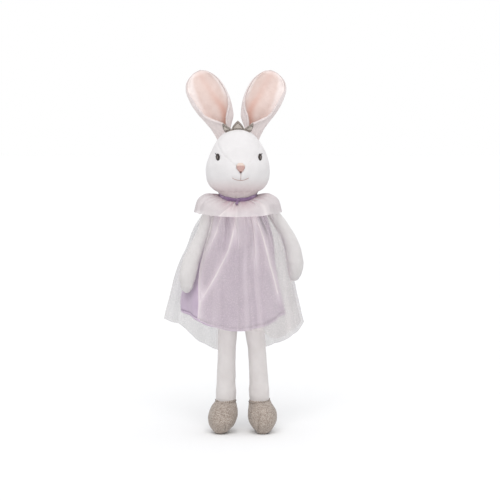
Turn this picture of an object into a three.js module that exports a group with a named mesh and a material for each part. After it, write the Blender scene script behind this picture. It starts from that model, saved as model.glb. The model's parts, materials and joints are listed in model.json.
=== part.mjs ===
// Stuffed rag-doll rabbit in a lavender dress with a glitter tulle overlay, a neck ribbon and a crown.
// Millimetres, +Z up. The rabbit stands upright and faces -Y, so its right side is at -X.
// Origin: on the standing plane, under the middle of the outline.

import * as THREE from 'three';

// Driving dimensions.
const CLOTH = 1.0; // wall of a sewn cover
const GAP = 0.4; // clearance between neighbouring pieces
const LOOSE = 0.8; // clearance of a filling inside its cover
const NECK_X = -2.4; // the head leans a little to the rabbit's right
const HEAD_TURN = THREE.MathUtils.degToRad(5); // and looks a little to its left
const HEAD_DEPTH = 0.95; // the head's depth as a share of its width
const NECK_PIVOT_Z = 268;
const HIP_Z = 138;
const ANKLE_Z = 41.5;
const HEM_BAND = 3.4; // height of the stitched hem band
const DRESS = { top: 266, chest: 240, side: 147, front: 131, back: 138 };
const HALF_WIDTH = 84; // of the whole outline, at the tulle's lower corners
const HALF_DEPTH = 58;

const rabbit = new THREE.Group();
rabbit.name = 'stuffed_rabbit';

// ---- materials -------------------------------------------------------------------------------

const cloth = (color, roughness = 0.9) => () =>
  new THREE.MeshStandardMaterial({ color, roughness, metalness: 0 });
const jersey = cloth(0xeef0f1);
const wadding = cloth(0xf7f7f4, 1);
const lining = cloth(0xecd9d0, 0.55);
const lavender = cloth(0xb6a2bf);
const tulle = cloth(0xd9d6d8, 0.6);
const satin = cloth(0x94709f, 0.35);
const glitterFelt = cloth(0x978d86, 0.5);
const glitterKnit = cloth(0xaa9e92, 0.5);
const darkThread = cloth(0x3b322f, 0.6);
const pinkThread = cloth(0xc98f88, 0.6);
const palePinkThread = cloth(0xb98379, 0.7);

// ---- shape helpers ---------------------------------------------------------------------------

const lerp = THREE.MathUtils.lerp;
const power = (base, exponent) => Math.max(base, 0) ** exponent;

/** A smooth outline through a few [radius, height] points. */
function outline(points, steps) {
  const curve = new THREE.SplineCurve(points.map(([r, h]) => new THREE.Vector2(r, h)));
  return curve.getPoints(steps).map((p) => new THREE.Vector2(Math.max(p.x, 0), p.y));
}

/** The outline moved inwards by a distance, square to itself. */
function inset(points, distance) {
  return points.map((point, i) => {
    const before = points[Math.max(i - 1, 0)];
    const after = points[Math.min(i + 1, points.length - 1)];
    const along = after.clone().sub(before).normalize();
    const onAxis = point.x < 1e-6;
    const inwards = onAxis
      ? new THREE.Vector2(0, Math.sign(points[points.length - 1 - i].y - point.y))
      : new THREE.Vector2(-along.y, along.x);
    const sign = onAxis ? 1 : Math.sign(inwards.dot(middle(points).sub(point)));
    const moved = point.clone().addScaledVector(inwards, sign * distance);
    return new THREE.Vector2(Math.max(moved.x, 0), moved.y);
  });
}

/** A point on the axis halfway up an outline. */
function middle(points) {
  const heights = points.map((p) => p.y);
  return new THREE.Vector2(0, (Math.min(...heights) + Math.max(...heights)) / 2);
}

/** Moves every vertex of a geometry by a function, and turns its faces outwards. */
function reshape(geometry, move) {
  const position = geometry.attributes.position;
  const point = new THREE.Vector3();
  for (let i = 0; i < position.count; i++) {
    point.fromBufferAttribute(position, i);
    const moved = move(point, i);
    position.setXYZ(i, moved.x, moved.y, moved.z);
  }
  return facingOut(geometry);
}

/** Flips the triangles if the solid's signed volume is negative. */
function facingOut(geometry) {
  const { position } = geometry.attributes;
  const index = geometry.index.array;
  const [a, b, c] = [0, 1, 2].map(() => new THREE.Vector3());
  let volume = 0;
  for (let i = 0; i < index.length; i += 3) {
    a.fromBufferAttribute(position, index[i]);
    b.fromBufferAttribute(position, index[i + 1]);
    c.fromBufferAttribute(position, index[i + 2]);
    volume += a.dot(b.cross(c));
  }
  if (volume < 0) {
    for (let i = 0; i < index.length; i += 3) {
      [index[i], index[i + 1]] = [index[i + 1], index[i]];
    }
  }
  geometry.computeVertexNormals();
  return geometry;
}

/** A turned solid about +Z; place(point, inside) then puts each vertex where it belongs. */
function turned(points, around, place = (p) => p, outerCount = points.length) {
  return reshape(new THREE.LatheGeometry(points, around), (p, i) =>
    place(new THREE.Vector3(p.x, -p.z, p.y), i % points.length >= outerCount)
  );
}

/** A sewn cover: a wall of cloth along an outline that starts on the axis and ends at its open rim. */
function cover(points, around, place) {
  const wall = [...points, ...inset(points, CLOTH).reverse()];
  return turned(wall, around, place, points.length);
}

/** The filling of a cover: its outline inside the wall, closed flat across the rim. */
function filling(points, around, place) {
  const inner = inset(points, CLOTH + LOOSE);
  inner.push(new THREE.Vector2(0, inner[inner.length - 1].y));
  return turned(inner, around, place);
}

/** Places a solid made about +Z along a curve, with heights as distances along it. */
function along(curve) {
  const length = curve.getLength();
  return (p) => {
    const share = THREE.MathUtils.clamp(p.z / length, 0, 1);
    const tangent = curve.getTangentAt(share);
    const across = new THREE.Vector3(1, 0, 0).addScaledVector(tangent, -tangent.x).normalize();
    const depth = tangent.clone().cross(across);
    return curve.getPointAt(share)
      .addScaledVector(tangent, p.z - share * length)
      .addScaledVector(across, p.x)
      .addScaledVector(depth, p.y);
  };
}

/** A ring of cloth all round the body: surface(angle, t) with t from its top edge to its hem. */
function clothRing(surface, around, rows, thickness = CLOTH) {
  const wall = [];
  for (let i = 0; i <= rows; i++) wall.push(new THREE.Vector2(2, i / rows));
  for (let i = rows; i >= 0; i--) wall.push(new THREE.Vector2(1, i / rows));
  wall.push(wall[0].clone());
  return reshape(new THREE.LatheGeometry(wall, around), (p) => {
    const outer = Math.hypot(p.x, p.z) > 1.5;
    return throughCloth(surface, Math.atan2(p.x, p.z), p.y, outer ? thickness : 0);
  });
}

/** A panel of cloth: surface(s, t) with s across it from -1 to 1 and t from its top edge to its hem. */
function clothPanel(surface, columns, rows, thickness = CLOTH) {
  return reshape(new THREE.BoxGeometry(2, 1, 1, columns, rows, 1), (p) =>
    throughCloth(surface, p.x, 0.5 - p.y, (p.z + 0.5) * thickness)
  );
}

/** A point of a cloth surface, moved out along the surface's normal. */
function throughCloth(surface, s, t, distance) {
  const step = 0.01;
  const acrossIt = surface(s + step, t).sub(surface(s - step, t));
  const downIt = surface(s, t + step).sub(surface(s, t - step));
  const normal = downIt.cross(acrossIt).normalize();
  return surface(s, t).addScaledVector(normal, distance);
}

/** Adds a named mesh to a group. */
function add(name, geometry, material, parent = rabbit) {
  const mesh = new THREE.Mesh(geometry, material());
  mesh.name = name;
  parent.add(mesh);
  return mesh;
}

// ---- head ------------------------------------------------------------------------------------

const headOutline = outline(
  [[0, 365], [12, 363], [23.2, 353.5], [32.1, 340], [38.4, 323], [39.4, 312], [37.5, 301],
    [32.8, 294], [26.2, 288.6], [22, 286]], 12);

/** The head's shape: slightly shallower than wide, with a soft muzzle at the front. */
function headShape(p) {
  const muzzle = p.y < 0 ? 5 * Math.exp(-((p.x / 17) ** 2) - ((p.z - 311) / 14) ** 2) : 0;
  const share = p.y < 0 ? Math.min(1, -p.y / 20) : 0;
  return new THREE.Vector3(p.x, p.y * HEAD_DEPTH - muzzle * share, p.z);
}

/** The head's radius at a height. */
function headRadius(z) {
  const i = headOutline.findIndex((p) => p.y < z);
  const [upper, lower] = [headOutline[i - 1], headOutline[i]];
  return lerp(upper.x, lower.x, (upper.y - z) / (upper.y - lower.y));
}

/** The front of the face at an across position and a height. */
function faceFront(x, z) {
  const y = -Math.sqrt(headRadius(z) ** 2 - x * x);
  return headShape(new THREE.Vector3(x, y, z));
}

/** Lays a small stitched piece, made facing -Y about the origin, on the face. */
function layOnFace(mesh, x, z, lift, roll = 0) {
  const here = faceFront(x, z);
  const acrossIt = faceFront(x + 1, z).sub(faceFront(x - 1, z));
  const upIt = faceFront(x, z + 1).sub(faceFront(x, z - 1));
  const normal = acrossIt.cross(upIt).normalize();
  mesh.position.copy(here).addScaledVector(normal, lift);
  mesh.quaternion.setFromUnitVectors(new THREE.Vector3(0, -1, 0), normal);
  mesh.rotateY(roll);
}

/** A domed patch of stitching, thin along Y; waist pulls its lower end in. */
function stitchPatch(width, height, thickness, taper = 0) {
  return reshape(new THREE.SphereGeometry(1, 10, 6), (p) => {
    const narrow = 1 + taper * p.y;
    return new THREE.Vector3((p.x * width * narrow) / 2, (-p.z * thickness) / 2, (p.y * height) / 2);
  });
}

/** A round thread through a few points of the face, clear of the cloth. */
function threadOnFace(points, diameter, lift) {
  const path = new THREE.CatmullRomCurve3(points.map(([x, z]) => faceFront(x, z).add(
    new THREE.Vector3(0, -lift, 0))));
  const section = new THREE.Shape().absarc(0, 0, diameter / 2, 0, 2 * Math.PI);
  return new THREE.ExtrudeGeometry(section,
    { steps: 8, curveSegments: 2, bevelEnabled: false, extrudePath: path });
}

const head = new THREE.Group();
head.position.x = NECK_X;
head.rotation.z = HEAD_TURN;
rabbit.add(head);

add('head_cover', cover(headOutline, 24, headShape), jersey, head);
add('head_stuffing', filling(headOutline, 24, headShape), wadding, head);

const EYE = { x: 25.4, z: 330.5, width: 5.2, height: 8, lash: 2.6 };
for (const [side, sign] of [['right', -1], ['left', 1]]) {
  const eye = add(`${side}_eye`, stitchPatch(EYE.width, EYE.height, 1.2), darkThread, head);
  layOnFace(eye, sign * EYE.x, EYE.z, 1.3);
  const lash = add(`${side}_lash`, stitchPatch(0.7, EYE.lash, 0.6), darkThread, head);
  layOnFace(lash, sign * (EYE.x + 1.7), EYE.z + EYE.height / 2 + 1.7, 1, sign * 0.5);
}

const NOSE = { z: 316.6, width: 10.4, height: 8.4, thickness: 2.6 };
const nose = add('nose', stitchPatch(NOSE.width, NOSE.height, NOSE.thickness, 0.3), pinkThread, head);
layOnFace(nose, 0, NOSE.z, NOSE.thickness / 2 + 0.9);
const shade = add('nose_shade', stitchPatch(2, 2.4, 0.8), darkThread, head);
layOnFace(shade, 0, NOSE.z - NOSE.height / 2 - 1.6, 0.9);
const philtrum = [[0, 309.1], [0, 307], [0, 304.6]];
add('philtrum_stitch', threadOnFace(philtrum, 0.6, 0.8), palePinkThread, head);
const smile = [[-9, 305.8], [-5, 304.2], [0, 303.4], [5, 304.2], [9, 305.8]];
add('mouth_stitch', threadOnFace(smile, 0.6, 0.8), palePinkThread, head);

// Crown: a felt strip with three points, curved round the front of the head's top.
const CROWN = { points: 3, spacing: 56, baseRadius: 15.2, flare: 5.5, band: 1.6, height: 11.5, felt: 1.2 };
const CROWN_Z = 362.3;
const crownGeometry = reshape(
  new THREE.BoxGeometry(CROWN.points, 1, 1, CROWN.points * 6, 2, 1), (p) => {
    const turn = THREE.MathUtils.degToRad(p.x * CROWN.spacing);
    const wave = 1 - 2 * Math.abs(p.x - Math.round(p.x));
    const up = (p.y + 0.5) * lerp(CROWN.band, CROWN.height, wave);
    const radius = CROWN.baseRadius + (up / CROWN.height) * CROWN.flare + p.z * CROWN.felt;
    return new THREE.Vector3(radius * Math.sin(turn), 1 - radius * Math.cos(turn), CROWN_Z + up);
  });
add('crown', crownGeometry, glitterFelt, head);

// ---- ears ------------------------------------------------------------------------------------

const EAR = { x: 18.5, y: 17, z: 355.4, length: 83 };
const EAR_LEAN = { right: -20, left: 15.5 };
const earOutline = outline(
  [[0, 0], [8.5, 1.2], [12, 14], [17, 34], [21.6, 58], [19.5, 73], [11, 81], [0, EAR.length]], 12);

/** A thin layer of the ear: flattened, cupped forwards, narrowed about its middle and set forwards. */
function earLayer(thickness, share, forwards) {
  return turned(earOutline, 14, (p) => {
    const height = lerp(EAR.length * 0.52, p.z, share);
    const across = p.x * share;
    const cup = lerp(0.045, 0.012, height / EAR.length) * across * across;
    return new THREE.Vector3(across, (p.y * thickness) / 43 - cup - forwards, height);
  });
}

for (const [side, sign] of [['right', -1], ['left', 1]]) {
  const ear = new THREE.Group();
  ear.position.set(NECK_X + sign * EAR.x, EAR.y, EAR.z);
  ear.rotation.y = THREE.MathUtils.degToRad(EAR_LEAN[side]);
  rabbit.add(ear);
  add(`${side}_ear_back`, earLayer(2.2, 1, 0), jersey, ear);
  add(`${side}_ear_wadding`, earLayer(1.8, 0.88, 2.4), wadding, ear);
  add(`${side}_ear_lining`, earLayer(1.6, 0.84, 4.6), lining, ear);
}

// ---- neck and torso --------------------------------------------------------------------------

// The neck is a ball of filling about the point where the head nods.
const NECK = { radius: 15, bottom: 256 };
const neckOutline = [new THREE.Vector2(0, NECK.bottom), new THREE.Vector2(12, NECK.bottom)];
for (let i = 0; i <= 6; i++) {
  const angle = lerp(-0.2, Math.PI / 2, i / 6);
  neckOutline.push(new THREE.Vector2(Math.max(NECK.radius * Math.cos(angle), 0),
    NECK_PIVOT_Z + NECK.radius * Math.sin(angle)));
}
neckOutline[neckOutline.length - 1].x = 0;
add('neck', turned(neckOutline, 18, (p) => new THREE.Vector3(p.x + NECK_X, p.y, p.z)), jersey);

const torsoOutline = outline(
  [[0, 150.5], [15, 151], [25.5, 160], [30, 181], [29, 210], [26, 240], [25.2, 257], [23.5, 267],
    [19.5, 272.5]], 12);
const torsoShape = (p) => new THREE.Vector3(p.x, p.y * 0.85, p.z);
add('torso_cover', cover(torsoOutline, 20, torsoShape), jersey);
const torsoFilling = torsoOutline.filter((p) => p.y < NECK.bottom - 2);
add('torso_stuffing', filling(torsoFilling, 20, torsoShape), wadding);

// ---- arms ------------------------------------------------------------------------------------

// Each arm is a stuffed tube from its mitten tip up to the shoulder seam.
const ARM_LINES = {
  right: [[-62, -33, 169.5], [-62.5, -31, 186], [-58, -25, 207], [-52, -17, 225], [-45, -8, 243],
    [-37.6, 0, 262]],
  left: [[63, -17, 182], [65.5, -17, 197], [64.5, -14, 214], [59, -9, 232], [50, -4, 248],
    [40, 0, 262]],
};
for (const [side, points] of Object.entries(ARM_LINES)) {
  const line = new THREE.CatmullRomCurve3(points.map((p) => new THREE.Vector3(...p)));
  const reach = line.getLength();
  const place = along(line);
  const armOutline = outline(
    [[0, 0], [6.2, 2], [9.2, 9], [10.6, 22], [10.2, 38], [8.6, reach - 28], [7.8, reach - 6],
      [6, reach + 4]], 11);
  add(`${side}_arm_cover`, cover(armOutline, 12, place), jersey);
  add(`${side}_arm_stuffing`, filling(armOutline, 12, place), wadding);
}

// ---- legs and feet ---------------------------------------------------------------------------

const LEGS = {
  right: { hip: -12.8, ankle: -16.8, footRoll: 8, footTurn: -8 },
  left: { hip: 13, ankle: 22.8, footRoll: -3, footTurn: 8 },
};
const LEG = { radius: 10.9, dome: 10.5 };
const FOOT_LINE = [[0, -31, -37], [0, -19, -29.5], [0, -8, -19], [0, -1, -6.5], [0, 0, 1.5]];

for (const [side, leg] of Object.entries(LEGS)) {
  const ankle = new THREE.Vector3(leg.ankle, 0, ANKLE_Z);
  const hip = new THREE.Vector3(leg.hip, 0, HIP_Z);
  const shin = hip.clone().sub(ankle);
  const reach = shin.length();
  const foot = ankle.clone().addScaledVector(shin, -LEG.dome / reach);
  const legLine = new THREE.LineCurve3(foot, hip);
  const total = reach + LEG.dome;
  const legOutline = outline(
    [[0, 0], [6, 1.9], [LEG.dome, LEG.dome], [LEG.radius, 40], [LEG.radius, total - 6],
      [9.6, total + 4.4], [7, total + 8]], 11);
  const placeLeg = along(legLine);
  add(`${side}_leg_cover`, cover(legOutline, 16, placeLeg), jersey);
  add(`${side}_leg_stuffing`, filling(legOutline, 14, placeLeg), wadding);

  // The foot droops forwards from the ankle and lies flat where it meets the ground.
  const turn = new THREE.Euler(0, THREE.MathUtils.degToRad(leg.footRoll),
    THREE.MathUtils.degToRad(leg.footTurn), 'YXZ');
  const footPath = new THREE.CatmullRomCurve3(FOOT_LINE.map((p) =>
    new THREE.Vector3(...p).applyEuler(turn).add(ankle)));
  const shoeLength = footPath.getLength();
  const shoeOutline = outline(
    [[0, 0], [7.5, 1.6], [13.6, 6.5], [17, 14.5], [17.8, 24], [16.2, 34], [13.8, shoeLength - 6],
      [13.3, shoeLength]], 12);
  const toeOutline = shoeOutline.filter((p) => p.y < shoeLength - 15);
  const placeFoot = along(footPath);
  const onGround = (floor) => (p, inside) => {
    const placed = placeFoot(p);
    placed.z = Math.max(placed.z, inside ? floor + CLOTH : floor);
    return placed;
  };
  add(`${side}_shoe`, cover(shoeOutline, 16, onGround(0)), glitterKnit);
  add(`${side}_foot_stuffing`, filling(toeOutline, 16, onGround(CLOTH + LOOSE)), wadding);
}

// ---- dress -----------------------------------------------------------------------------------

/** Half the dress's width and depth at a height, and how far it hangs to the rabbit's right. */
function dressSize(z) {
  const down = THREE.MathUtils.clamp((DRESS.chest - z) / (DRESS.chest - DRESS.front), 0, 1);
  const chest = THREE.MathUtils.clamp((DRESS.top - z) / (DRESS.top - DRESS.chest), 0, 1);
  return {
    x: lerp(27.6, 30.4, chest) + 36 * power(down, 1.1),
    y: lerp(24.4, 26, chest) + 20 * down,
    shift: -10 * down,
  };
}

/** The lowest height of the dress at an angle from the front: lowest in front, highest at the sides. */
function hemHeight(angle) {
  const lowest = Math.cos(angle) > 0 ? DRESS.front : DRESS.back;
  return lerp(DRESS.side, lowest, Math.cos(angle) ** 2);
}

/** A point of the dress between two heights given as functions of the angle from the front. */
function onDress(angle, t, top, bottom) {
  const z = lerp(top(angle), bottom(angle), t);
  const size = dressSize(z);
  return new THREE.Vector3(size.shift + size.x * Math.sin(angle), -size.y * Math.cos(angle), z);
}

/** The front or the back of the dress, from one side seam to the other. */
function dressPanel(middleAngle) {
  const halfTurn = Math.PI / 2 - 0.01;
  const surface = (s, t) => onDress(middleAngle + s * halfTurn, t, () => DRESS.top, bandTop);
  return clothPanel(surface, 12, 5);
}

const bandTop = (angle) => hemHeight(angle) + HEM_BAND;
add('dress_front', dressPanel(0), lavender);
add('dress_back', dressPanel(Math.PI), lavender);
const hemBand = (angle, t) => onDress(angle, t, (a) => bandTop(a) - GAP, hemHeight);
add('dress_hem', clothRing(hemBand, 24, 1), lavender);

// ---- tulle overlay ---------------------------------------------------------------------------

const TULLE = { thickness: 0.8, top: 262 };

/** Front panel: gathered under the collar, over the left arm, and out to the lower left corner. */
function frontPanel(s, t) {
  const right = lerp(-24, -51, t);
  const left = lerp(33, 73, power(t, 0.8));
  const x = lerp(right, left, (s + 1) / 2);
  const overArm = 22 * THREE.MathUtils.smoothstep(x, 28, 46) * Math.sin(Math.PI * Math.min(t * 1.3, 1));
  const bulge = lerp(30, HALF_DEPTH - TULLE.thickness, t) - 0.0055 * x * x * (1 - 0.4 * t);
  const hem = lerp(126, 112, THREE.MathUtils.smoothstep(x, -10, 60));
  return new THREE.Vector3(x, -(bulge + overArm * (1 - t * 0.9)), lerp(TULLE.top, hem, t));
}

/** One half of the back: from the slit at the centre back round to the lower outer corner. */
const backPanel = (sign) => (s, t) => {
  const slit = lerp(0.5, 7, t);
  const corner = lerp(30, HALF_WIDTH - 0.3, t);
  const share = (s + 1) / 2;
  const x = lerp(slit, corner, share);
  const depth = lerp(30, HALF_DEPTH - TULLE.thickness, t) * Math.cos(share * lerp(0.9, 1.32, t));
  const hem = lerp(95, 137, power(share, 1.5));
  return new THREE.Vector3(sign * x, depth, lerp(TULLE.top, hem, t));
};

add('tulle_front_panel', clothPanel(frontPanel, 10, 7, TULLE.thickness), tulle);
add('tulle_back_right', clothPanel((s, t) => backPanel(-1)(-s, t), 7, 6, -TULLE.thickness), tulle);
add('tulle_back_left', clothPanel(backPanel(1), 7, 6, -TULLE.thickness), tulle);

/** Collar: a short ruffle that stands up beside the jaw and falls over the shoulders. */
function collar(angle, t) {
  const sideways = Math.abs(Math.sin(angle));
  const puff = 6 * sideways * Math.sin(Math.PI * Math.min(t * 1.4, 1));
  return new THREE.Vector3(
    NECK_X + (24 + 30 * t) * Math.sin(angle),
    -(24 + 17 * t) * Math.cos(angle),
    lerp(280, 284, sideways) + puff - lerp(20, 17, sideways) * t);
}
add('tulle_collar', clothRing(collar, 24, 3, TULLE.thickness), tulle);

// ---- ribbon ----------------------------------------------------------------------------------

const RIBBON = { radius: 21.2, height: 4, thickness: 1.2, z: 282, tilt: 0.17 };
const ribbonLoop = (angle, t) => {
  const y = -RIBBON.radius * Math.cos(angle);
  const middleZ = RIBBON.z + Math.min(y, 0) * RIBBON.tilt;
  return new THREE.Vector3(NECK_X + RIBBON.radius * Math.sin(angle), y,
    middleZ + RIBBON.height * (0.5 - t));
};
add('neck_ribbon', clothRing(ribbonLoop, 28, 1, RIBBON.thickness), satin);
const KNOT = { width: 3.4, height: 6.4, thickness: 1.4 };
const knot = add('ribbon_knot', stitchPatch(KNOT.width, KNOT.height, KNOT.thickness, -0.3), satin);
knot.position.set(NECK_X, -RIBBON.radius - RIBBON.thickness - KNOT.thickness, 276.6);

export default rabbit;
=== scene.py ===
"""A stuffed rag-doll rabbit in a lavender dress and a glitter tulle overlay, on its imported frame.

Shapes are worked out in millimetres, in the frame's own axes: +Z up, the rabbit faces -Y, its right is -X.
"""

import json
import math

import bmesh
import bpy
import numpy as np
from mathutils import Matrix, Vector, noise
from mathutils.bvhtree import BVHTree


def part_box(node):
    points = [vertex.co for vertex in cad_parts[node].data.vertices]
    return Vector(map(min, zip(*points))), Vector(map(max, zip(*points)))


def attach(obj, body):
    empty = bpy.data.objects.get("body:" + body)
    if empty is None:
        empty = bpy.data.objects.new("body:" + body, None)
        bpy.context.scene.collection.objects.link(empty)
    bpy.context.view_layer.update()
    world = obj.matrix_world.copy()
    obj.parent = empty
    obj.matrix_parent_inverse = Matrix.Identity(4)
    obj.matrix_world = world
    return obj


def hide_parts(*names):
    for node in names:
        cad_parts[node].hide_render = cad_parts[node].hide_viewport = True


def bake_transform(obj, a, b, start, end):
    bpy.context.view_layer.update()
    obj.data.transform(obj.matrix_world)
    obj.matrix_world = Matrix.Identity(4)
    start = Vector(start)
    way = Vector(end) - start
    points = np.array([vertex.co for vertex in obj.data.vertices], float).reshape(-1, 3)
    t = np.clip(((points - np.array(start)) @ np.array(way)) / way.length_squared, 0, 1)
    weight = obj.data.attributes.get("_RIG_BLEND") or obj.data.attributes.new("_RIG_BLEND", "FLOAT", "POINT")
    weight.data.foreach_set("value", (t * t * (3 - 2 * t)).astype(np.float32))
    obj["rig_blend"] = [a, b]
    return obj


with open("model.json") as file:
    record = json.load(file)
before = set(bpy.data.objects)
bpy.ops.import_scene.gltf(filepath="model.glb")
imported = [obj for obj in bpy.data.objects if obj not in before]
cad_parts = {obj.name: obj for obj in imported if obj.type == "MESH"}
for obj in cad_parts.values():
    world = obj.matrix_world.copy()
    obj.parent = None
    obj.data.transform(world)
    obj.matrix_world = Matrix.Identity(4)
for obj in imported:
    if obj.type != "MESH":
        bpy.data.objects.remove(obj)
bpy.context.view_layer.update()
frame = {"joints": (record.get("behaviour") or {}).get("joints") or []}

MM = 0.001
# The rabbit's sides, and the direction of each along X.
SIDES = {"right": -1, "left": 1}


# ---- numbers and curves ----------------------------------------------------------------------


def box_mm(node):
    """Lowest and highest corner of a CAD node, in millimetres."""
    low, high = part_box(node)
    return np.array(low) / MM, np.array(high) / MM


def pivot_mm(joint):
    """Where a joint's axis passes, in millimetres."""
    found = next(j for j in frame["joints"] if j["name"] == joint)
    return np.array(found["pos_m"]) / MM


def lerp(a, b, t):
    """The value a share t of the way from a to b."""
    return a + (b - a) * t


def smooth(low, high, at):
    """0 below low, 1 above high, with a smooth rise between them."""
    t = np.clip((np.asarray(at, float) - low) / (high - low), 0, 1)
    return t * t * (3 - 2 * t)


def bump(at, middle, width):
    """A bell of height 1 about a middle."""
    return np.exp(-(((at - middle) / width) ** 2))


def follow(table, at):
    """A smooth curve through (position, value) pairs, read at some positions."""
    x, y = np.array(table, float).T
    slope = np.gradient(y, x)
    at = np.asarray(at, float)
    i = np.clip(np.searchsorted(x, at) - 1, 0, len(x) - 2)
    width = x[i + 1] - x[i]
    t = np.clip((at - x[i]) / width, 0, 1)
    ends = (1 + 2 * t) * (1 - t) ** 2 * y[i] + t * t * (3 - 2 * t) * y[i + 1]
    return ends + width * (t * (1 - t) ** 2 * slope[i] + t * t * (t - 1) * slope[i + 1])


def spline(points, count):
    """Points evenly spaced along a smooth curve through a few points."""
    points = np.array(points, float)
    places = np.arange(len(points))
    dense = np.linspace(0, len(points) - 1, 40 * len(points))
    curve = np.stack([follow(np.stack([places, c], 1), dense) for c in points.T], 1)
    return evenly(curve, count)


def run_along(path):
    """The distance along a polyline to each of its points."""
    return np.concatenate([[0], np.cumsum(np.linalg.norm(np.diff(path, axis=0), axis=1))])


def evenly(curve, shares):
    """A polyline read again at a number of even steps, or at given shares of its length."""
    run = run_along(curve)
    if isinstance(shares, int):
        shares = np.linspace(0, 1, shares)
    return np.stack([np.interp(shares * run[-1], run, c) for c in curve.T], 1)


def wobble(points, size, seed=0.0):
    """Smooth noise about 0 at each point, with lumps of a given size."""
    shift = Vector((seed, 2.7 * seed, -1.3 * seed))
    return np.array([noise.noise(Vector(p) / size + shift) for p in points])


def full_turn(count):
    """Angles evenly spaced round a circle."""
    return np.linspace(0, 2 * np.pi, count, endpoint=False)


def about_y(angle):
    """A turn about Y, as a matrix."""
    c, s = math.cos(angle), math.sin(angle)
    return np.array([[c, 0, s], [0, 1, 0], [-s, 0, c]])


def about_z(angle):
    """A turn about Z, as a matrix."""
    c, s = math.cos(angle), math.sin(angle)
    return np.array([[c, -s, 0], [s, c, 0], [0, 0, 1]])


def unit(vectors):
    """Rows of vectors, each made 1 long."""
    return vectors / np.linalg.norm(vectors, axis=1, keepdims=True)


# ---- grids of points -------------------------------------------------------------------------


def grid_normals(grid):
    """The direction square to a grid at each of its points."""
    normal = np.cross(np.gradient(grid, axis=1), np.gradient(grid, axis=0))
    size = np.linalg.norm(normal, axis=2, keepdims=True)
    return normal / np.maximum(size, 1e-9)


def quads(rows, columns, wrap=False, first=0):
    """The faces of a grid of points."""
    steps = np.arange(columns if wrap else columns - 1)
    r, c = np.meshgrid(np.arange(rows - 1), steps, indexing="ij")
    d = (c + 1) % columns
    corners = [r * columns + c, r * columns + d, (r + 1) * columns + d, (r + 1) * columns + c]
    return first + np.stack(corners, -1).reshape(-1, 4)


def sheet_of(grid, wrap=False):
    """One surface through a grid."""
    return grid.reshape(-1, 3), quads(*grid.shape[:2], wrap)


def shell_of(front, back, wrap=False):
    """One closed body between two grids of the same size."""
    rows, columns = front.shape[:2]
    count = rows * columns
    index = np.arange(count).reshape(rows, columns)
    round_it = [index[0], index[1:, -1], index[-1, -2::-1], index[-2:0:-1, 0]]
    rims = [index[0], index[-1]] if wrap else [np.concatenate(round_it)]
    faces = [quads(rows, columns, wrap), quads(rows, columns, wrap, count)[:, ::-1]]
    for rim in rims:
        after = np.roll(rim, -1)
        faces.append(np.stack([rim, after, after + count, rim + count], -1))
    return np.concatenate([front.reshape(-1, 3), back.reshape(-1, 3)]), np.concatenate(faces)


def frames_along(path):
    """Two directions square to a path at each point, kept from twisting."""
    tangent = unit(np.gradient(path, axis=0))
    across = np.array([1.0, 0, 0]) if abs(tangent[0][0]) < 0.9 else np.array([0, 0, 1.0])
    sides = []
    for t in tangent:
        across = across - t * (across @ t)
        across = across / np.linalg.norm(across)
        sides.append(across)
    sides = np.array(sides)
    return sides, np.cross(tangent, sides)


def rings(side, up, count):
    """The directions all round a path, from two square to it at each point."""
    turn = full_turn(count)[None, :, None]
    return side[:, None] * np.cos(turn) + up[:, None] * np.sin(turn)


def tube_of(path, radius, sides=8, flat=1.0):
    """A closed round body along a path; its ends are drawn to a point."""
    path = np.asarray(path, float)
    radius = np.broadcast_to(radius, len(path)).copy()
    side, up = frames_along(path)
    radius[[0, -1]] = 0
    return sheet_of(path[:, None] + rings(side, up * flat, sides) * radius[:, None, None], True)


def several(bodies):
    """Several bodies as one."""
    points, faces, count = [], [], 0
    for p, f in bodies:
        points.append(p)
        faces.append(np.asarray(f) + count)
        count += len(p)
    return np.concatenate(points), np.concatenate(faces)


# ---- pieces ----------------------------------------------------------------------------------


def make_piece(name, body, material, open_sheet=False):
    """A named object from points in millimetres and faces."""
    points, faces = body
    mesh = bpy.data.meshes.new(name)
    mesh.from_pydata((points * MM).tolist(), [], faces.tolist())
    bm = bmesh.new()
    bm.from_mesh(mesh)
    if not open_sheet:
        bmesh.ops.remove_doubles(bm, verts=bm.verts, dist=2e-6)
        bmesh.ops.dissolve_degenerate(bm, edges=bm.edges, dist=1e-7)
        bmesh.ops.recalc_face_normals(bm, faces=bm.faces)
    bm.to_mesh(mesh)
    bm.free()
    mesh.shade_smooth()
    mesh.materials.append(material)
    piece = bpy.data.objects.new(name, mesh)
    bpy.context.scene.collection.objects.link(piece)
    return piece


def points_of(piece):
    """The piece's points, in millimetres."""
    co = np.zeros(len(piece.data.vertices) * 3)
    piece.data.vertices.foreach_get("co", co)
    return co.reshape(-1, 3) / MM


def normals_of(piece):
    """The outward direction at each of the piece's points."""
    co = np.zeros(len(piece.data.vertices) * 3)
    piece.data.vertex_normals.foreach_get("vector", co)
    return co.reshape(-1, 3)


def put_points(piece, points):
    """Moves the piece's points to places in millimetres."""
    piece.data.vertices.foreach_set("co", (points * MM).ravel())
    piece.data.update()


def push_out(piece, distance):
    """Moves every point out by its own distance."""
    put_points(piece, points_of(piece) + normals_of(piece) * np.asarray(distance)[:, None])


def apply_modifiers(piece):
    """Keeps what the modifiers make of the piece."""
    evaluated = piece.evaluated_get(bpy.context.evaluated_depsgraph_get())
    mesh = bpy.data.meshes.new_from_object(evaluated)
    piece.modifiers.clear()
    old, piece.data = piece.data, mesh
    mesh.name = old.name
    bpy.data.meshes.remove(old)


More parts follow.
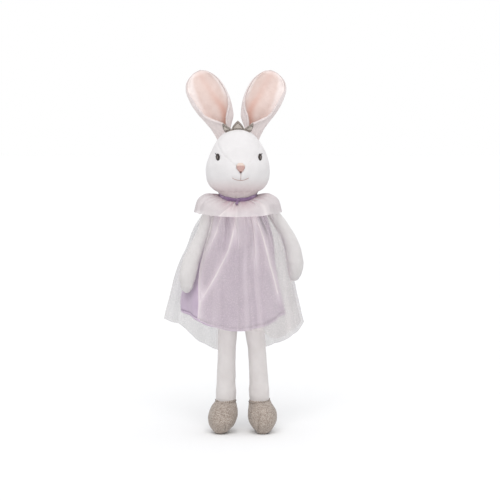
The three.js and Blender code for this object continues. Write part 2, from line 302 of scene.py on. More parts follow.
def stuff(piece, voxel=3.5, growth=1.2, levels=2):
    """Remeshes a closed cover, swells it as stuffed cloth, and makes its surface fine again."""
    remesh = piece.modifiers.new("remesh", "REMESH")
    remesh.mode = "VOXEL"
    remesh.voxel_size = voxel * MM
    apply_modifiers(piece)
    start = points_of(piece)
    cloth = piece.modifiers.new("cloth", "CLOTH")
    cloth.settings.quality = 4
    cloth.settings.use_pressure = True
    cloth.settings.uniform_pressure_force = 4
    cloth.settings.effector_weights.gravity = 0
    cloth.point_cache.frame_start, cloth.point_cache.frame_end = 1, 20
    for number in range(1, 21):
        bpy.context.scene.frame_set(number)
    apply_modifiers(piece)
    bpy.context.scene.frame_set(1)
    moved = points_of(piece) - start
    size = np.linalg.norm(moved, axis=1, keepdims=True)
    put_points(piece, start + moved * np.minimum(1, growth / np.maximum(size, 1e-9)))
    fine = piece.modifiers.new("fine", "SUBSURF")
    fine.levels = levels
    apply_modifiers(piece)
    piece.data.shade_smooth()
    return piece


def distance_to(points, path):
    """How far each point is from a polyline."""
    nearest = np.full(len(points), 1e9)
    for a, b in zip(path[:-1], path[1:]):
        d = b - a
        t = np.clip((points - a) @ d / (d @ d), 0, 1)
        nearest = np.minimum(nearest, np.linalg.norm(points - a - t[:, None] * d, axis=1))
    return nearest


def seam(points, path, width=0.9, depth=0.7):
    """How far a sewn seam along a path pulls the cloth in, with the cloth puffed beside it."""
    away = distance_to(points, path)
    return 0.35 * depth * bump(away, 3.2 * width, 1.8 * width) - depth * bump(away, 0, width)


def number_points(piece, name, values):
    """Stores a number at each point, for the material to read."""
    made = piece.data.attributes.new(name, "FLOAT", "POINT")
    made.data.foreach_set("value", np.asarray(values, np.float32))


def stands_for(nodes):
    """Hides the CAD nodes that the piece stands for."""
    if nodes:
        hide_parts(*nodes)


def rides(piece, body, slot_name, *nodes):
    """The piece moves with a body and stands for CAD nodes; the slot name is not used."""
    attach(piece, body)
    stands_for(nodes)


def crosses(piece, body, moving, start, end, slot_name, *nodes):
    """The piece follows body before start and moving after end, both in millimetres."""
    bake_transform(piece, body, moving, start=tuple(np.array(start) * MM), end=tuple(np.array(end) * MM))
    stands_for(nodes)


def bends(piece, body, moving, slot_name, share, *nodes):
    """The piece follows body, and each point also a share of how moving turns against it."""
    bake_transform(piece, body, moving, start=(0, 0, 0), end=(0, 0, 1))
    weights = piece.data.attributes["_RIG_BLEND"]
    weights.data.foreach_set("value", np.asarray(share(points_of(piece)), np.float32))
    stands_for(nodes)


# ---- materials -------------------------------------------------------------------------------


class Shader:
    """A material in the making. Patterns are placed in the frame's metres."""

    def __init__(self, name, **settings):
        self.material = bpy.data.materials.new(name)
        self.material.use_nodes = True
        self.tree = self.material.node_tree
        self.surface = self.tree.nodes["Principled BSDF"]
        self.place = self.tree.nodes.new("ShaderNodeTexCoord").outputs["Object"]
        for key, value in settings.items():
            self.surface.inputs[key.replace("_", " ")].default_value = value

    def add(self, kind, inputs=(), **properties):
        """A new node, with links or values on its inputs; gives its first output."""
        node = self.tree.nodes.new("ShaderNode" + kind)
        for key, value in properties.items():
            setattr(node, key, value)
        for key, value in dict(inputs).items():
            if isinstance(value, bpy.types.NodeSocket):
                self.tree.links.new(value, node.inputs[key])
            else:
                node.inputs[key].default_value = value
        return node.outputs[0]

    def noise(self, lump_mm, detail=2.0):
        """Soft lumps of a size."""
        return self.add("TexNoise", {"Vector": self.place, "Scale": 1 / (lump_mm * MM), "Detail": detail})

    def cells(self, cell_mm, output="Distance"):
        """Small cells: how far each place is from its cell's middle, or another of the cells' outputs."""
        self.add("TexVoronoi", {"Vector": self.place, "Scale": 1 / (cell_mm * MM)})
        return self.tree.nodes[-1].outputs[output]

    def flecks(self, cell_mm):
        """A different number in each small cell, 0 to 1."""
        return self.add("SeparateColor", {"Color": self.cells(cell_mm, "Color")})

    def bands(self, period_mm, direction, distort=0.0):
        """Even ridges across an axis."""
        inputs = {"Vector": self.place, "Scale": 2 * math.pi / (20 * period_mm * MM),
                  "Distortion": distort, "Detail": 1.0}
        return self.add("TexWave", inputs, bands_direction=direction)

    def maths(self, operation, a, b):
        """One sum with two numbers."""
        return self.add("Math", {0: a, 1: b}, operation=operation)

    def ramp(self, value, *stops):
        """Colours by value: (place, colour) pairs."""
        out = self.add("ValToRGB", {"Fac": value})
        ramp = self.tree.nodes[-1].color_ramp
        while len(ramp.elements) < len(stops):
            ramp.elements.new(0.5)
        for element, (at, colour) in zip(ramp.elements, stops):
            element.position = at
            element.color = (*colour, 1)
        return out

    def mix(self, share, a, b, how="MIX"):
        """Colour a with a share of colour b over it."""
        values = {"Fac": share}
        for key, colour in (("Color1", a), ("Color2", b)):
            values[key] = colour if isinstance(colour, bpy.types.NodeSocket) else (*colour, 1)
        return self.add("MixRGB", values, blend_type=how)

    def attribute(self, name):
        """The number stored at each point under a name."""
        self.add("Attribute", (), attribute_name=name)
        return self.tree.nodes[-1].outputs["Fac"]

    def relief(self, *layers):
        """Bumps from (height, depth in mm) layers."""
        normal = None
        for height, depth_mm in layers:
            inputs = {"Height": height, "Distance": depth_mm * MM, "Strength": 1.0}
            if normal is not None:
                inputs["Normal"] = normal
            normal = self.add("Bump", inputs)
        self.tree.links.new(normal, self.surface.inputs["Normal"])

    def feed(self, **sockets):
        """Links patterns to the surface's inputs."""
        for key, value in sockets.items():
            self.tree.links.new(value, self.surface.inputs[key.replace("_", " ")])


def srgb(r, g, b):
    """A colour given as it looks on screen, 0 to 255, as the renderer counts light."""
    return tuple(((c / 255 + 0.055) / 1.055) ** 2.4 if c > 10 else c / 3294.6 for c in (r, g, b))


def jersey_cloth(name, colour, shade, chin_shade=None):
    """Brushed cotton jersey: fine columns of stitches, a little fuzz and uneven whiteness, with a pinkish
    painted shade under the chin where one is given.
    """
    shader = Shader(name, Roughness=0.92, Sheen_Weight=0.25, Sheen_Roughness=0.6)
    patchy = shader.ramp(shader.noise(14, 3), (0.3, shade), (0.7, colour))
    shader.feed(Base_Color=shader.mix(shader.attribute("chin_shade"), patchy, chin_shade) if chin_shade else patchy)
    shader.relief((shader.noise(7, 3), 0.35), (shader.bands(0.95, "X", 0.6), 0.07),
                  (shader.bands(0.7, "Z", 0.6), 0.05), (shader.noise(0.35, 2), 0.05))
    return shader.material


def ear_lining_cloth():
    """Soft pink satin-faced cloth: paler where it rolls over the ear's edge, partly the turned cloth and
    partly a painted highlight, with painted shade in deep pink along its crease.
    """
    shader = Shader("ear_lining_satin", Roughness=0.5, Sheen_Weight=0.45, Sheen_Roughness=0.4)
    pink = shader.ramp(shader.noise(9, 2), (0.25, srgb(219, 195, 186)), (0.75, srgb(227, 206, 199)))
    # The paler rim is partly a painted highlight; the deep pink is painted shade in the crease.
    pale = shader.mix(shader.attribute("rolled"), pink, srgb(237, 224, 220))
    shader.feed(Base_Color=shader.mix(shader.attribute("deep"), pale, srgb(214, 172, 158)))
    shader.relief((shader.noise(5, 2), 0.4), (shader.bands(0.5, "Z", 0.4), 0.03), (shader.noise(0.5), 0.04))
    return shader.material


def lavender_cloth():
    """Plain-woven lavender cotton, with painted shade in dark purple along its creases and folds."""
    shader = Shader("lavender_cotton", Roughness=0.85, Sheen_Weight=0.3, Sheen_Roughness=0.5)
    patchy = shader.ramp(shader.noise(18, 4), (0.3, srgb(192, 174, 194)), (0.7, srgb(206, 190, 206)))
    threads = shader.mix(0.14, patchy, shader.ramp(shader.bands(0.6, "X"), (0, (0.25,) * 3), (1, (1,) * 3)),
                         "MULTIPLY")
    # Painted shade: dark purple where marked as creased.
    shader.feed(Base_Color=shader.mix(shader.attribute("crease"), threads, srgb(52, 32, 68)))
    shader.relief((shader.noise(12, 3), 0.5), (shader.bands(0.6, "X", 0.3), 0.06),
                  (shader.bands(0.6, "Z", 0.3), 0.06))
    return shader.material


def tulle_net(name, colour, glint, alpha, fleck_mm):
    """A sheer net, with painted highlights along its folds, painted shade where marked, and fine flecks of
    glitter caught in it.
    """
    shader = Shader(name, Roughness=0.55, Alpha=alpha, Sheen_Weight=0.2, Sheen_Roughness=0.3)
    patchy = shader.ramp(shader.noise(30, 3), (0.3, tuple(0.86 * c for c in colour)), (0.7, colour))
    # Painted highlight: whiter where marked along folds and edges.
    painted_highlight = shader.mix(shader.attribute("painted_highlight"), patchy, srgb(250, 243, 240))
    fleck = shader.maths("MULTIPLY", shader.maths("GREATER_THAN", shader.flecks(fleck_mm), 0.8), 0.35)
    # Painted shade, warm pink, where marked.
    shaded_colour = shader.mix(shader.attribute("shaded"), painted_highlight, srgb(186, 160, 168))
    shader.feed(Base_Color=shader.mix(fleck, shaded_colour, glint))
    shader.relief((shader.cells(1.3), 0.12), (shader.noise(6, 2), 0.3))
    return shader.material


def satin_ribbon():
    """Shiny purple ribbon with a painted highlight where it turns."""
    shader = Shader("ribbon_satin", Roughness=0.3, Sheen_Weight=0.3, Anisotropic=0.5)
    purple = shader.ramp(shader.noise(4, 2), (0.3, srgb(122, 90, 130)), (0.7, srgb(142, 112, 150)))
    shader.feed(Base_Color=shader.mix(shader.attribute("lit"), purple, srgb(196, 170, 204)))
    shader.relief((shader.bands(0.35, "Z", 0.2), 0.03), (shader.noise(3, 2), 0.25))
    return shader.material


def glitter_cloth(name, dark, mid, light, row_mm, fleck_mm):
    """Lurex knit or felt: rows of loops with dark gaps, and metal flecks that catch the light."""
    shader = Shader(name, Roughness=0.5, Metallic=0.15, Sheen_Weight=0.2)
    rows = shader.bands(row_mm, "Z", 0.7)
    cells = shader.cells(0.85 * row_mm)
    loops = shader.maths("SUBTRACT", shader.maths("ADD", shader.maths("MULTIPLY", rows, 0.45), 0.75), cells)
    body = shader.ramp(loops, (0.1, dark), (0.5, mid), (0.95, light))
    body = shader.mix(shader.maths("MULTIPLY", shader.noise(5, 3), 0.4), body, mid)
    fleck = shader.maths("GREATER_THAN", shader.flecks(fleck_mm), 0.84)
    shader.feed(Base_Color=shader.mix(shader.maths("MULTIPLY", fleck, 0.6), body, srgb(232, 222, 210)))
    shader.feed(Roughness=shader.maths("SUBTRACT", 0.65, shader.maths("MULTIPLY", fleck, 0.4)))
    shader.relief((loops, 0.35), (shader.flecks(fleck_mm), 0.08), (shader.noise(0.8, 2), 0.15))
    return shader.material


def embroidery(name, colour, shade, gloss=0.35):
    """Stranded embroidery thread."""
    shader = Shader(name, Roughness=gloss, Sheen_Weight=0.2)
    shader.feed(Base_Color=shader.ramp(shader.noise(0.9, 2), (0.3, shade), (0.7, colour)))
    shader.relief((shader.noise(0.25, 2), 0.04))
    return shader.material


def floor_paper():
    """A pale matt floor."""
    shader = Shader("pale_floor", Roughness=0.9)
    shader.feed(Base_Color=shader.ramp(shader.noise(300, 2), (0.3, (0.87,) * 3), (0.7, (0.88,) * 3)))
    return shader.material


JERSEY = jersey_cloth("white_jersey", srgb(226, 223, 223), srgb(220, 217, 217))
# The head's jersey; its last colour is a pinkish painted shade under the chin.
HEAD_JERSEY = jersey_cloth("head_jersey", srgb(226, 223, 223), srgb(221, 218, 218), srgb(216, 198, 197))
# The arms and legs: the same white jersey, painted darker as shade.
SHADED_ARM_JERSEY = jersey_cloth("shaded_arm_jersey", srgb(211, 207, 206), srgb(204, 200, 199))
SHADED_LEG_JERSEY = jersey_cloth("shaded_leg_jersey", srgb(216, 211, 209), srgb(209, 203, 201))
EAR_JERSEY = jersey_cloth("ear_jersey", srgb(226, 215, 213), srgb(219, 207, 205))
LINING = ear_lining_cloth()
LAVENDER = lavender_cloth()
TULLE = tulle_net("glitter_tulle", srgb(192, 185, 184), srgb(240, 232, 226), 0.44, 0.5)
# The back panels' tulle: the same net, painted darker as shade.
SHADED_BACK_TULLE = tulle_net("shaded_back_glitter_tulle", srgb(180, 176, 176), srgb(228, 222, 218), 0.49, 0.5)
COLLAR_TULLE = tulle_net("collar_tulle", srgb(216, 208, 209), srgb(230, 221, 221), 0.84, 0.4)
SATIN = satin_ribbon()
KNIT = glitter_cloth("glitter_knit", srgb(108, 94, 85), srgb(165, 151, 140), srgb(208, 195, 184), 1.25, 0.55)
FELT = glitter_cloth("glitter_felt", srgb(118, 107, 100), srgb(148, 137, 129), srgb(176, 165, 156), 0.9, 0.6)
PALE_FELT = glitter_cloth("pale_glitter_felt", srgb(156, 146, 137), srgb(190, 180, 171), srgb(214, 205, 197),
                          0.9, 0.6)
DARK_THREAD = embroidery("dark_thread", srgb(58, 44, 38), srgb(34, 25, 22), 0.5)
NOSE_THREAD = embroidery("nose_thread", srgb(206, 172, 164), srgb(190, 153, 145))
NOSE_HIGHLIGHT_THREAD = embroidery("nose_highlight_thread", srgb(233, 217, 207), srgb(224, 205, 194))
GLINT_THREAD = embroidery("eye_glint_thread", srgb(132, 120, 114), srgb(104, 93, 88))
NOSE_SHADE_THREAD = embroidery("nose_tip_shade_thread", srgb(112, 62, 56), srgb(84, 42, 38))
MOUTH_THREAD = embroidery("mouth_thread", srgb(176, 140, 132), srgb(158, 122, 114), 0.6)
SEAM_THREAD = embroidery("seam_thread", srgb(222, 217, 218), srgb(206, 200, 202), 0.7)
CROWN_THREAD = embroidery("crown_thread", srgb(96, 85, 78), srgb(74, 64, 59), 0.5)
EDGE_THREAD = embroidery("shoe_edge_thread", srgb(122, 108, 100), srgb(96, 84, 78), 0.6)
HEM_THREAD = embroidery("hem_thread", srgb(160, 141, 166), srgb(146, 126, 152), 0.6)


# ---- camera, light and floor -----------------------------------------------------------------

WORLD_LIGHT = 0.5
# Metres, degrees and millimetres of lens.
VIEW = {"distance": 1.667, "elevation": 4.5, "aim": (0.012, 0.0, 0.219), "lens": 100, "sensor": 36}


def look_at(thing, place, target):
    """Puts a thing in its place, turned to a target."""
    thing.location = place
    thing.rotation_euler = (Vector(target) - Vector(place)).to_track_quat("-Z", "Y").to_euler()


def add_camera():
    """A long lens in front, a little above the middle."""
    camera = bpy.data.objects.new("camera", bpy.data.cameras.new("camera"))
    bpy.context.scene.collection.objects.link(camera)
    camera.data.lens, camera.data.sensor_width = VIEW["lens"], VIEW["sensor"]
    tilt = math.radians(VIEW["elevation"])
    back = Vector((0, -math.cos(tilt), math.sin(tilt))) * VIEW["distance"]
    look_at(camera, Vector(VIEW["aim"]) + back, VIEW["aim"])
    camera.data.clip_end = 100
    bpy.context.scene.camera = camera


def add_soft_light(name, place, spread, strength):
    """A distant soft light, wide enough to leave no sharp shadow."""
    light = bpy.data.lights.new(name, "SUN")
    light.angle, light.energy = math.radians(spread), strength
    lamp = bpy.data.objects.new(name, light)
    bpy.context.scene.collection.objects.link(lamp)
    look_at(lamp, place, (0, 0, 0))


def add_studio():
    """Even soft light, a white background and a pale floor."""
    world = bpy.data.worlds.new("studio")
    bpy.context.scene.world = world
    world.use_nodes = True
    tree = world.node_tree
    soft = tree.nodes["Background"]
    soft.inputs["Color"].default_value = (0.97, 0.98, 1, 1)
    soft.inputs["Strength"].default_value = WORLD_LIGHT
    white = tree.nodes.new("ShaderNodeBackground")
    white.inputs["Color"].default_value = (1, 1, 1, 1)
    seen = tree.nodes.new("ShaderNodeLightPath").outputs["Is Camera Ray"]
    pick = tree.nodes.new("ShaderNodeMixShader")
    tree.links.new(seen, pick.inputs[0])
    tree.links.new(soft.outputs[0], pick.inputs[1])
    tree.links.new(white.outputs[0], pick.inputs[2])
    tree.links.new(pick.outputs[0], tree.nodes["World Output"].inputs["Surface"])
    add_soft_light("front_light", (-0.03, -0.8, 1.0), 50, 1.7)
    add_soft_light("top_light", (0.1, 0.2, 1.0), 90, 0.95)
    turn = full_turn(96)
    reach = np.array([0, 400, 1500, 6000, 30000.0])
    disc = reach[:, None, None] * np.stack([np.cos(turn), np.sin(turn), 0 * turn], -1)[None]
    floor = make_piece("floor", sheet_of(disc + [0, 0, -0.2], True), floor_paper())
    bpy.context.scene.view_settings.view_transform = "Standard"


# ---- head ------------------------------------------------------------------------------------

NECK = pivot_mm("head_nod")
HEAD_TOP = box_mm("head_cover")[1][2]
HEAD_TURN = math.radians(5)
HEAD_DEPTH = 0.95
# Radius and height below the crown of the head, down to the neck.
HEAD_OUTLINE = [(0, 0), (12, -2), (23.2, -11.5), (32.1, -25), (38.4, -42), (39.4, -53), (37.8, -63),
                (33.6, -70.4), (26.8, -75), (18.5, -77), (9, -77.6), (0, -77.7)]
# The gusset's seams, down from the top of the head: (x, z) on the face, then (x, y, z) round the back.
GUSSET_FRONT = [(4.8, -44), (9, -41.6), (14.2, -37), (21, -29), (24.6, -20.5)]
GUSSET_BACK = [(24, 2, -12), (19.5, 25, -17), (17, 34, -36), (12, 36, -58), (7, 25, -76)]
# How deep each side's seam lies below the eye, and how deep both lie behind it.
GUSSET_DEPTH = {"right": 0.42, "left": 0.2, "back": 0.14}
MUZZLE = {"z": HEAD_TOP - 54, "out": 5.0, "half_width": 17, "half_height": 14}
EYE = {"right": -25.4, "left": 24.3, "z": HEAD_TOP - 34.5, "width": 5.2, "height": 8.0}
NOSE = {"z": HEAD_TOP - 47.8, "width": 11.0, "height": 8.8}
MOUTH_Z = HEAD_TOP - 60.4
# How far a laid thread's middle stands off the face.
THREAD_LIFT = 0.12
# Each lash from the eye's outer corner: (outwards, up).
LASH = [(0.8, 0), (2.1, 1.2), (2.9, 2.5)]
# The nose's half width at shares of its height, from below.
NOSE_SHIELD = [(0, 0.18), (0.15, 0.45), (0.35, 0.78), (0.55, 0.95), (0.8, 1.0), (1, 0.88)]
# The smile's curve about its height.
SMILE = [(-10, 1.9), (-5.4, -0.2), (0, -1.1), (5.4, -0.2), (10, 1.9)]


def head_to_frame(points):
    """From the face's own axes, straight ahead along -Y, to the frame's."""
    return np.asarray(points) @ about_z(HEAD_TURN).T + [NECK[0], 0, 0]


def head_grid(shrink):
    """The head turned from its outline, a little shallower than wide, with a soft muzzle."""
    outline = spline([(max(r - shrink, 0), HEAD_TOP + h) for r, h in HEAD_OUTLINE], 90)
    turn = full_turn(120)
    x = outline[:, :1] * np.sin(turn)
    y = -outline[:, :1] * np.cos(turn) * HEAD_DEPTH
    z = np.repeat(outline[:, 1:], len(turn), 1)
    muzzle = bump(x, 0, MUZZLE["half_width"]) * bump(z, MUZZLE["z"], MUZZLE["half_height"])
    y = y - MUZZLE["out"] * muzzle * np.clip(-y / 20, 0, 1)
    return np.stack([x, y, z], -1)


def head_seams():
    """The gusset's two seams, from beside the nose past the eyes to the ears and down the back."""
    paths = []
    for sign in SIDES.values():
        face = [surface_spot(sign * x, HEAD_TOP + z)[0] for x, z in GUSSET_FRONT]
        back = [(sign * x, y, HEAD_TOP + z) for x, y, z in GUSSET_BACK]
        path = spline(np.concatenate([face, head_to_frame(back)]), 60)
        paths.append(np.array([onto_head(p) for p in path]))
    return paths


def surface_spot(x, z):
    """The point of the face straight ahead of (x, z) in the face's axes, and its outward direction."""
    ahead, origin = head_to_frame([[x, 0, z], [x, -90, z]])
    direction = Vector(ahead - origin).normalized()
    place, normal, _, _ = head_tree.ray_cast(Vector(origin), direction)
    return np.array(place), np.array(normal)


def onto_head(point):
    """The nearest point of the head's surface."""
    return np.array(head_tree.find_nearest(Vector(point))[0])


def tree_of(piece):
    """A search tree over the piece's surface, in millimetres."""
    faces = [tuple(p.vertices) for p in piece.data.polygons]
    return BVHTree.FromPolygons([Vector(p) for p in points_of(piece)], faces)


def make_head():
    """The stuffed head: its cloth, the seams of its gusset and the gathers at the neck."""
    global head_tree
    points, faces = sheet_of(head_grid(shrink=0.7), True)
    head = make_piece("head", (head_to_frame(points), faces), HEAD_JERSEY)
    stuff(head, voxel=3.6, growth=1.0)
    points = points_of(head)
    centre = points - [NECK[0], 0, 0]
    push_out(head, 0.55 * wobble(points, 22, 3) + 0.25 * wobble(points, 9, 8))
    head_tree = tree_of(head)
    seams = head_seams()
    points = points_of(head)
    depth = sum(seam(points, path[:26], 0.9, GUSSET_DEPTH[side])
                + seam(points, path[24:], 0.8, GUSSET_DEPTH["back"]) for side, path in zip(SIDES, seams))
    for side in SIDES:
        eye = surface_spot(EYE[side], EYE["z"])[0]
        depth -= 1.1 * bump(np.linalg.norm(points - eye, axis=1), 0, 5.5)
    mouth = [surface_spot(x, MOUTH_Z + 0.03 * x * x)[0] for x in np.linspace(-9, 9, 7)]
    depth -= 0.5 * bump(distance_to(points, np.array(mouth)), 0, 1.6)
    turn = np.arctan2(centre[:, 0], -centre[:, 1])
    gathers = smooth(HEAD_TOP - 66, HEAD_TOP - 78, points[:, 2])
    push_out(head, depth + 0.5 * gathers * np.sin(22 * turn))
    head_tree = tree_of(head)
    # Painted shade: pinkish, darker down the head towards the chin.
    number_points(head, "chin_shade", 0.75 * smooth(HEAD_TOP - 56, HEAD_TOP - 77, points_of(head)[:, 2]))
    rides(head, "head", "white_jersey", "head_cover", "head_stuffing")
    for side, path in zip(SIDES, seams):
        line = np.array([onto_head(p) for p in path])
        rides(make_piece(f"{side}_gusset_seam_thread", stitched_line(line, 0.15, 1.9, 0.9), SEAM_THREAD),
              "head", "white_jersey")


def stitched_line(path, radius, long, gap):
    """A line of short stitches along a path."""
    run = np.linalg.norm(np.diff(path, axis=0), axis=1).sum()
    count = max(int(run / (long + gap)), 1)
    stitches = []
    for i in range(count):
        shares = (i + np.linspace(0, long / (long + gap), 5)) / count
        stitches.append(tube_of(evenly(path, shares), radius, 6))
    return several(stitches)


def satin_patch(x, z, height, half_width, thread, lift, lift_all=0.0):
    """Threads side by side on the face; half_width gives the shape's reach at each share of its height."""
    threads = []
    count = int(round(height / thread))
    for i in range(count):
        share = (i + 0.5) / count
        along = height * (share - 0.5)
        reach = half_width(share) * (1 + 0.05 * math.sin(7.3 * i))
        path = []
        for step in np.linspace(-1, 1, 9):
            place, normal = surface_spot(x + step * reach, z + along)
            across, upwards = max(1 - step * step, 0), max(1 - (2 * share - 1) ** 2, 0.15)
            rise = lift * math.sqrt(across) * math.sqrt(upwards)
            path.append(place + normal * (rise + lift_all - 0.08))
        threads.append(tube_of(path, 0.62 * thread, 8))
    return several(threads)


def oval(width):
    """Half the width of an oval at each share of its height."""
    return lambda share: 0.5 * width * math.sqrt(max(1 - (2 * share - 1) ** 2, 0.02))


def face_line(points, radius, count):
    """A thread laid on the face through a few (x, z) points."""
    path = []
    for x, z in spline(points, count):
        place, normal = surface_spot(x, z)
        path.append(place + normal * THREAD_LIFT)
    return tube_of(path, radius, 8)


def make_face():
    """Embroidered eyes with a lash each and a grey painted highlight, a satin-stitched nose with a painted
    highlight on top and painted shade at its tip, and a thin smile.
    """
    for side, sign in SIDES.items():
        x = EYE[side]
        eye = satin_patch(x, EYE["z"], EYE["height"], oval(EYE["width"]), 0.55, 0.8)
        rides(make_piece(f"{side}_eye_embroidery", eye, DARK_THREAD), "head", "dark_thread", f"{side}_eye")
        # Grey threads inside the eye: a painted highlight.
        glint = satin_patch(x - 0.1, EYE["z"] - 0.5, 3.6, oval(1.4), 0.45, 0.7, lift_all=0.62)
        rides(make_piece(f"{side}_eye_glint", glint, GLINT_THREAD), "head", "dark_thread")
        corner = EYE["z"] + 0.3 * EYE["height"]
        lash = [(x + out * sign, corner + up) for out, up in LASH]
        rides(make_piece(f"{side}_eye_lash", face_line(lash, 0.42, 10), DARK_THREAD),
              "head", "dark_thread", f"{side}_lash")
    nose_reach = lambda share: 0.5 * NOSE["width"] * float(follow(NOSE_SHIELD, share))
    nose = satin_patch(0, NOSE["z"], NOSE["height"], nose_reach, 0.6, 1.5)
    rides(make_piece("nose_embroidery", nose, NOSE_THREAD), "head", "pink_thread", "nose")
    # A paler cap on the nose's top: painted highlight.
    cap_reach = lambda share: 0.5 * NOSE["width"] * (1.0 - 0.55 * share ** 2.5)
    top = satin_patch(0, NOSE["z"] + 0.5 * NOSE["height"] - 0.2, 4.4, cap_reach, 0.55, 0.9, lift_all=0.25)
    rides(make_piece("nose_top_highlight", top, NOSE_HIGHLIGHT_THREAD), "head", "pink_thread")
    # A dark red-brown patch at the nose's tip: painted shade.
    low = NOSE["z"] - 0.5 * NOSE["height"]
    spot = satin_patch(0, low + 0.7, 3.2, oval(2.7), 0.5, 0.95, lift_all=0.3)
    rides(make_piece("nose_tip_shade_patch", spot, NOSE_SHADE_THREAD), "head", "dark_thread", "nose_shade")
    philtrum = face_line([(0, low - 0.8), (0.2, low - 3.5), (0, MOUTH_Z - 1.2)], 0.25, 14)
    rides(make_piece("philtrum_thread", philtrum, MOUTH_THREAD), "head", "mouth_thread", "philtrum_stitch")
    smile = face_line([(x, MOUTH_Z + z) for x, z in SMILE], 0.28, 36)
    rides(make_piece("mouth_thread", smile, MOUTH_THREAD), "head", "mouth_thread", "mouth_stitch")


# ---- crown -----------------------------------------------------------------------------------

CROWN = {"spacing": math.radians(58), "wide": 13.6, "deep": 10.8, "flare": 7.4, "band": 1.9, "felt": 1.2,
         "middle": 11.4, "lower": 1.0, "reach": 1.46, "seat": 1.55, "sunk": 0.7}


def crown_point(across, up, out=0.0):
    """A point of the crown: across in points from its middle, up from the head it is sewn to."""
    turn = across * CROWN["spacing"]
    base = crown_base(across)
    flare = CROWN["flare"] * up / 11 + out
    x = NECK[0] + (CROWN["wide"] + flare) * np.sin(turn) + 0.3 * across
    return np.stack([x, 1 - (CROWN["deep"] + 0.3 * flare) * np.cos(0.5 * turn), base + up], -1)


def crown_base(across):
    """The height of the head under the crown."""
    places = np.linspace(-CROWN["seat"], CROWN["seat"], 40)
    turn = places * CROWN["spacing"]
    x, y = NECK[0] + CROWN["wide"] * np.sin(turn), 1 - CROWN["deep"] * np.cos(0.5 * turn)
    down = Vector((0, 0, -1))
    heights = [head_tree.ray_cast(Vector((a, b, HEAD_TOP + 20)), down)[0][2] for a, b in zip(x, y)]
    return np.interp(across, places, heights) - CROWN["sunk"]


def crown_peak(point):
    """The height of a point: -1, 0 or 1. The outer two are a little lower."""
    return CROWN["middle"] - CROWN["lower"] * np.abs(point)


def crown_height(across):
    """How high the crown's zigzag edge stands."""
    wave = 1 - 2 * np.abs(across - np.round(across))
    return lerp(CROWN["band"], crown_peak(np.round(across)), wave ** 0.95)


def make_crown():
    """A felt strip with three points; each point has a paler inset inside a stitched border."""
    across, up = np.meshgrid(np.linspace(-CROWN["reach"], CROWN["reach"], 121), np.linspace(0, 1, 15))
    height = lerp(-1.2, crown_height(across), up)
    softness = 0.25 * np.sin(5 * across + 9 * up)
    front = crown_point(across, height, CROWN["felt"] / 2 + softness)
    back = crown_point(across, height, -CROWN["felt"] / 2 + softness)
    felt = make_piece("felt_crown", shell_of(front, back), FELT)
    rides(felt, "head", "glitter_felt", "crown")
    insets, borders = [], []
    for middle in (-1, 0, 1):
        share, up = np.meshgrid(np.linspace(-1, 1, 17), np.linspace(0, 1, 13))
        peak = crown_peak(middle)
        low, high = CROWN["band"] + 0.4, peak - 4.0
        half = 0.5 * (1 - (lerp(low, high, up) - CROWN["band"]) / (peak - CROWN["band"])) - 0.15
        x = middle + share * np.maximum(half, 0.0)
        z = lerp(low, high, up)
        puff = 0.45 + 0.4 * (1 - share ** 2) * np.sin(np.pi * np.clip(up, 0, 1)) ** 0.5
        insets.append(shell_of(crown_point(x, z, CROWN["felt"] / 2 + puff), crown_point(x, z, 0.2)))
        corners = [(-0.40, 1.4), (0.0, high + 1.0), (0.40, 1.4), (-0.40, 1.4)]
        for (a, low_z), (b, high_z) in zip(corners[:-1], corners[1:]):
            line = np.linspace(0, 1, 12)
            path = crown_point(middle + lerp(a, b, line), lerp(low_z, high_z, line), CROWN["felt"] / 2 + 0.4)
            borders.append(stitched_line(path, 0.32, 1.3, 0.35))
    rides(make_piece("crown_insets", several(insets), PALE_FELT), "head", "glitter_felt")
    rides(make_piece("crown_border_stitches", several(borders), CROWN_THREAD), "head", "glitter_felt")


# ---- ears ------------------------------------------------------------------------------------

# Each table is (height along the ear, reach from its middle line), towards the other ear or away from it.
EAR_INNER = [(-9, 7), (0, 8.8), (10, 14.5), (19, 20), (30, 22.4), (46, 22.6), (60, 20.6), (70, 17),
             (78, 11.5), (82.6, 6), (84.6, 1)]
EAR_OUTER = [(-9, 6.5), (0, 6.6), (10, 8.6), (20, 12.4), (38, 19.2), (54, 22.4), (68, 21.8), (77, 17),
             (81.6, 10.5), (84, 4), (84.6, -1)]
# How far towards the other ear the two rolled edges lie: they meet low down and part upwards.
INNER_EDGE = [(-9, 4), (6, 7.6), (13, 9.2), (23, 13.4), (30, 18.2), (38, 21.2), (46, 21.8)]
OUTER_EDGE = [(-9, 4), (6, 7.2), (13, 6.6), (20, -1.5), (28.5, -10.6), (40, -15.2), (55, -18.6), (68, -19.6)]
EAR_CUP = [(-9, 8), (0, 9.5), (14, 11), (30, 10.5), (46, 8.5), (60, 6.5), (75, 3.4), (84.6, 0.3)]
EAR_LEAN = {"right": math.radians(-20), "left": math.radians(15.5)}
EAR_TOP = 84.6
EAR_STRETCH = {"right": 0.985, "left": 0.962}
# The painted shade, deep pink, down the lining's crease: (height, place across).
EAR_CREASE = [(10, 7), (14, 8), (27, 11.6), (50, 6.2), (78, -0.5), (86, -2)]


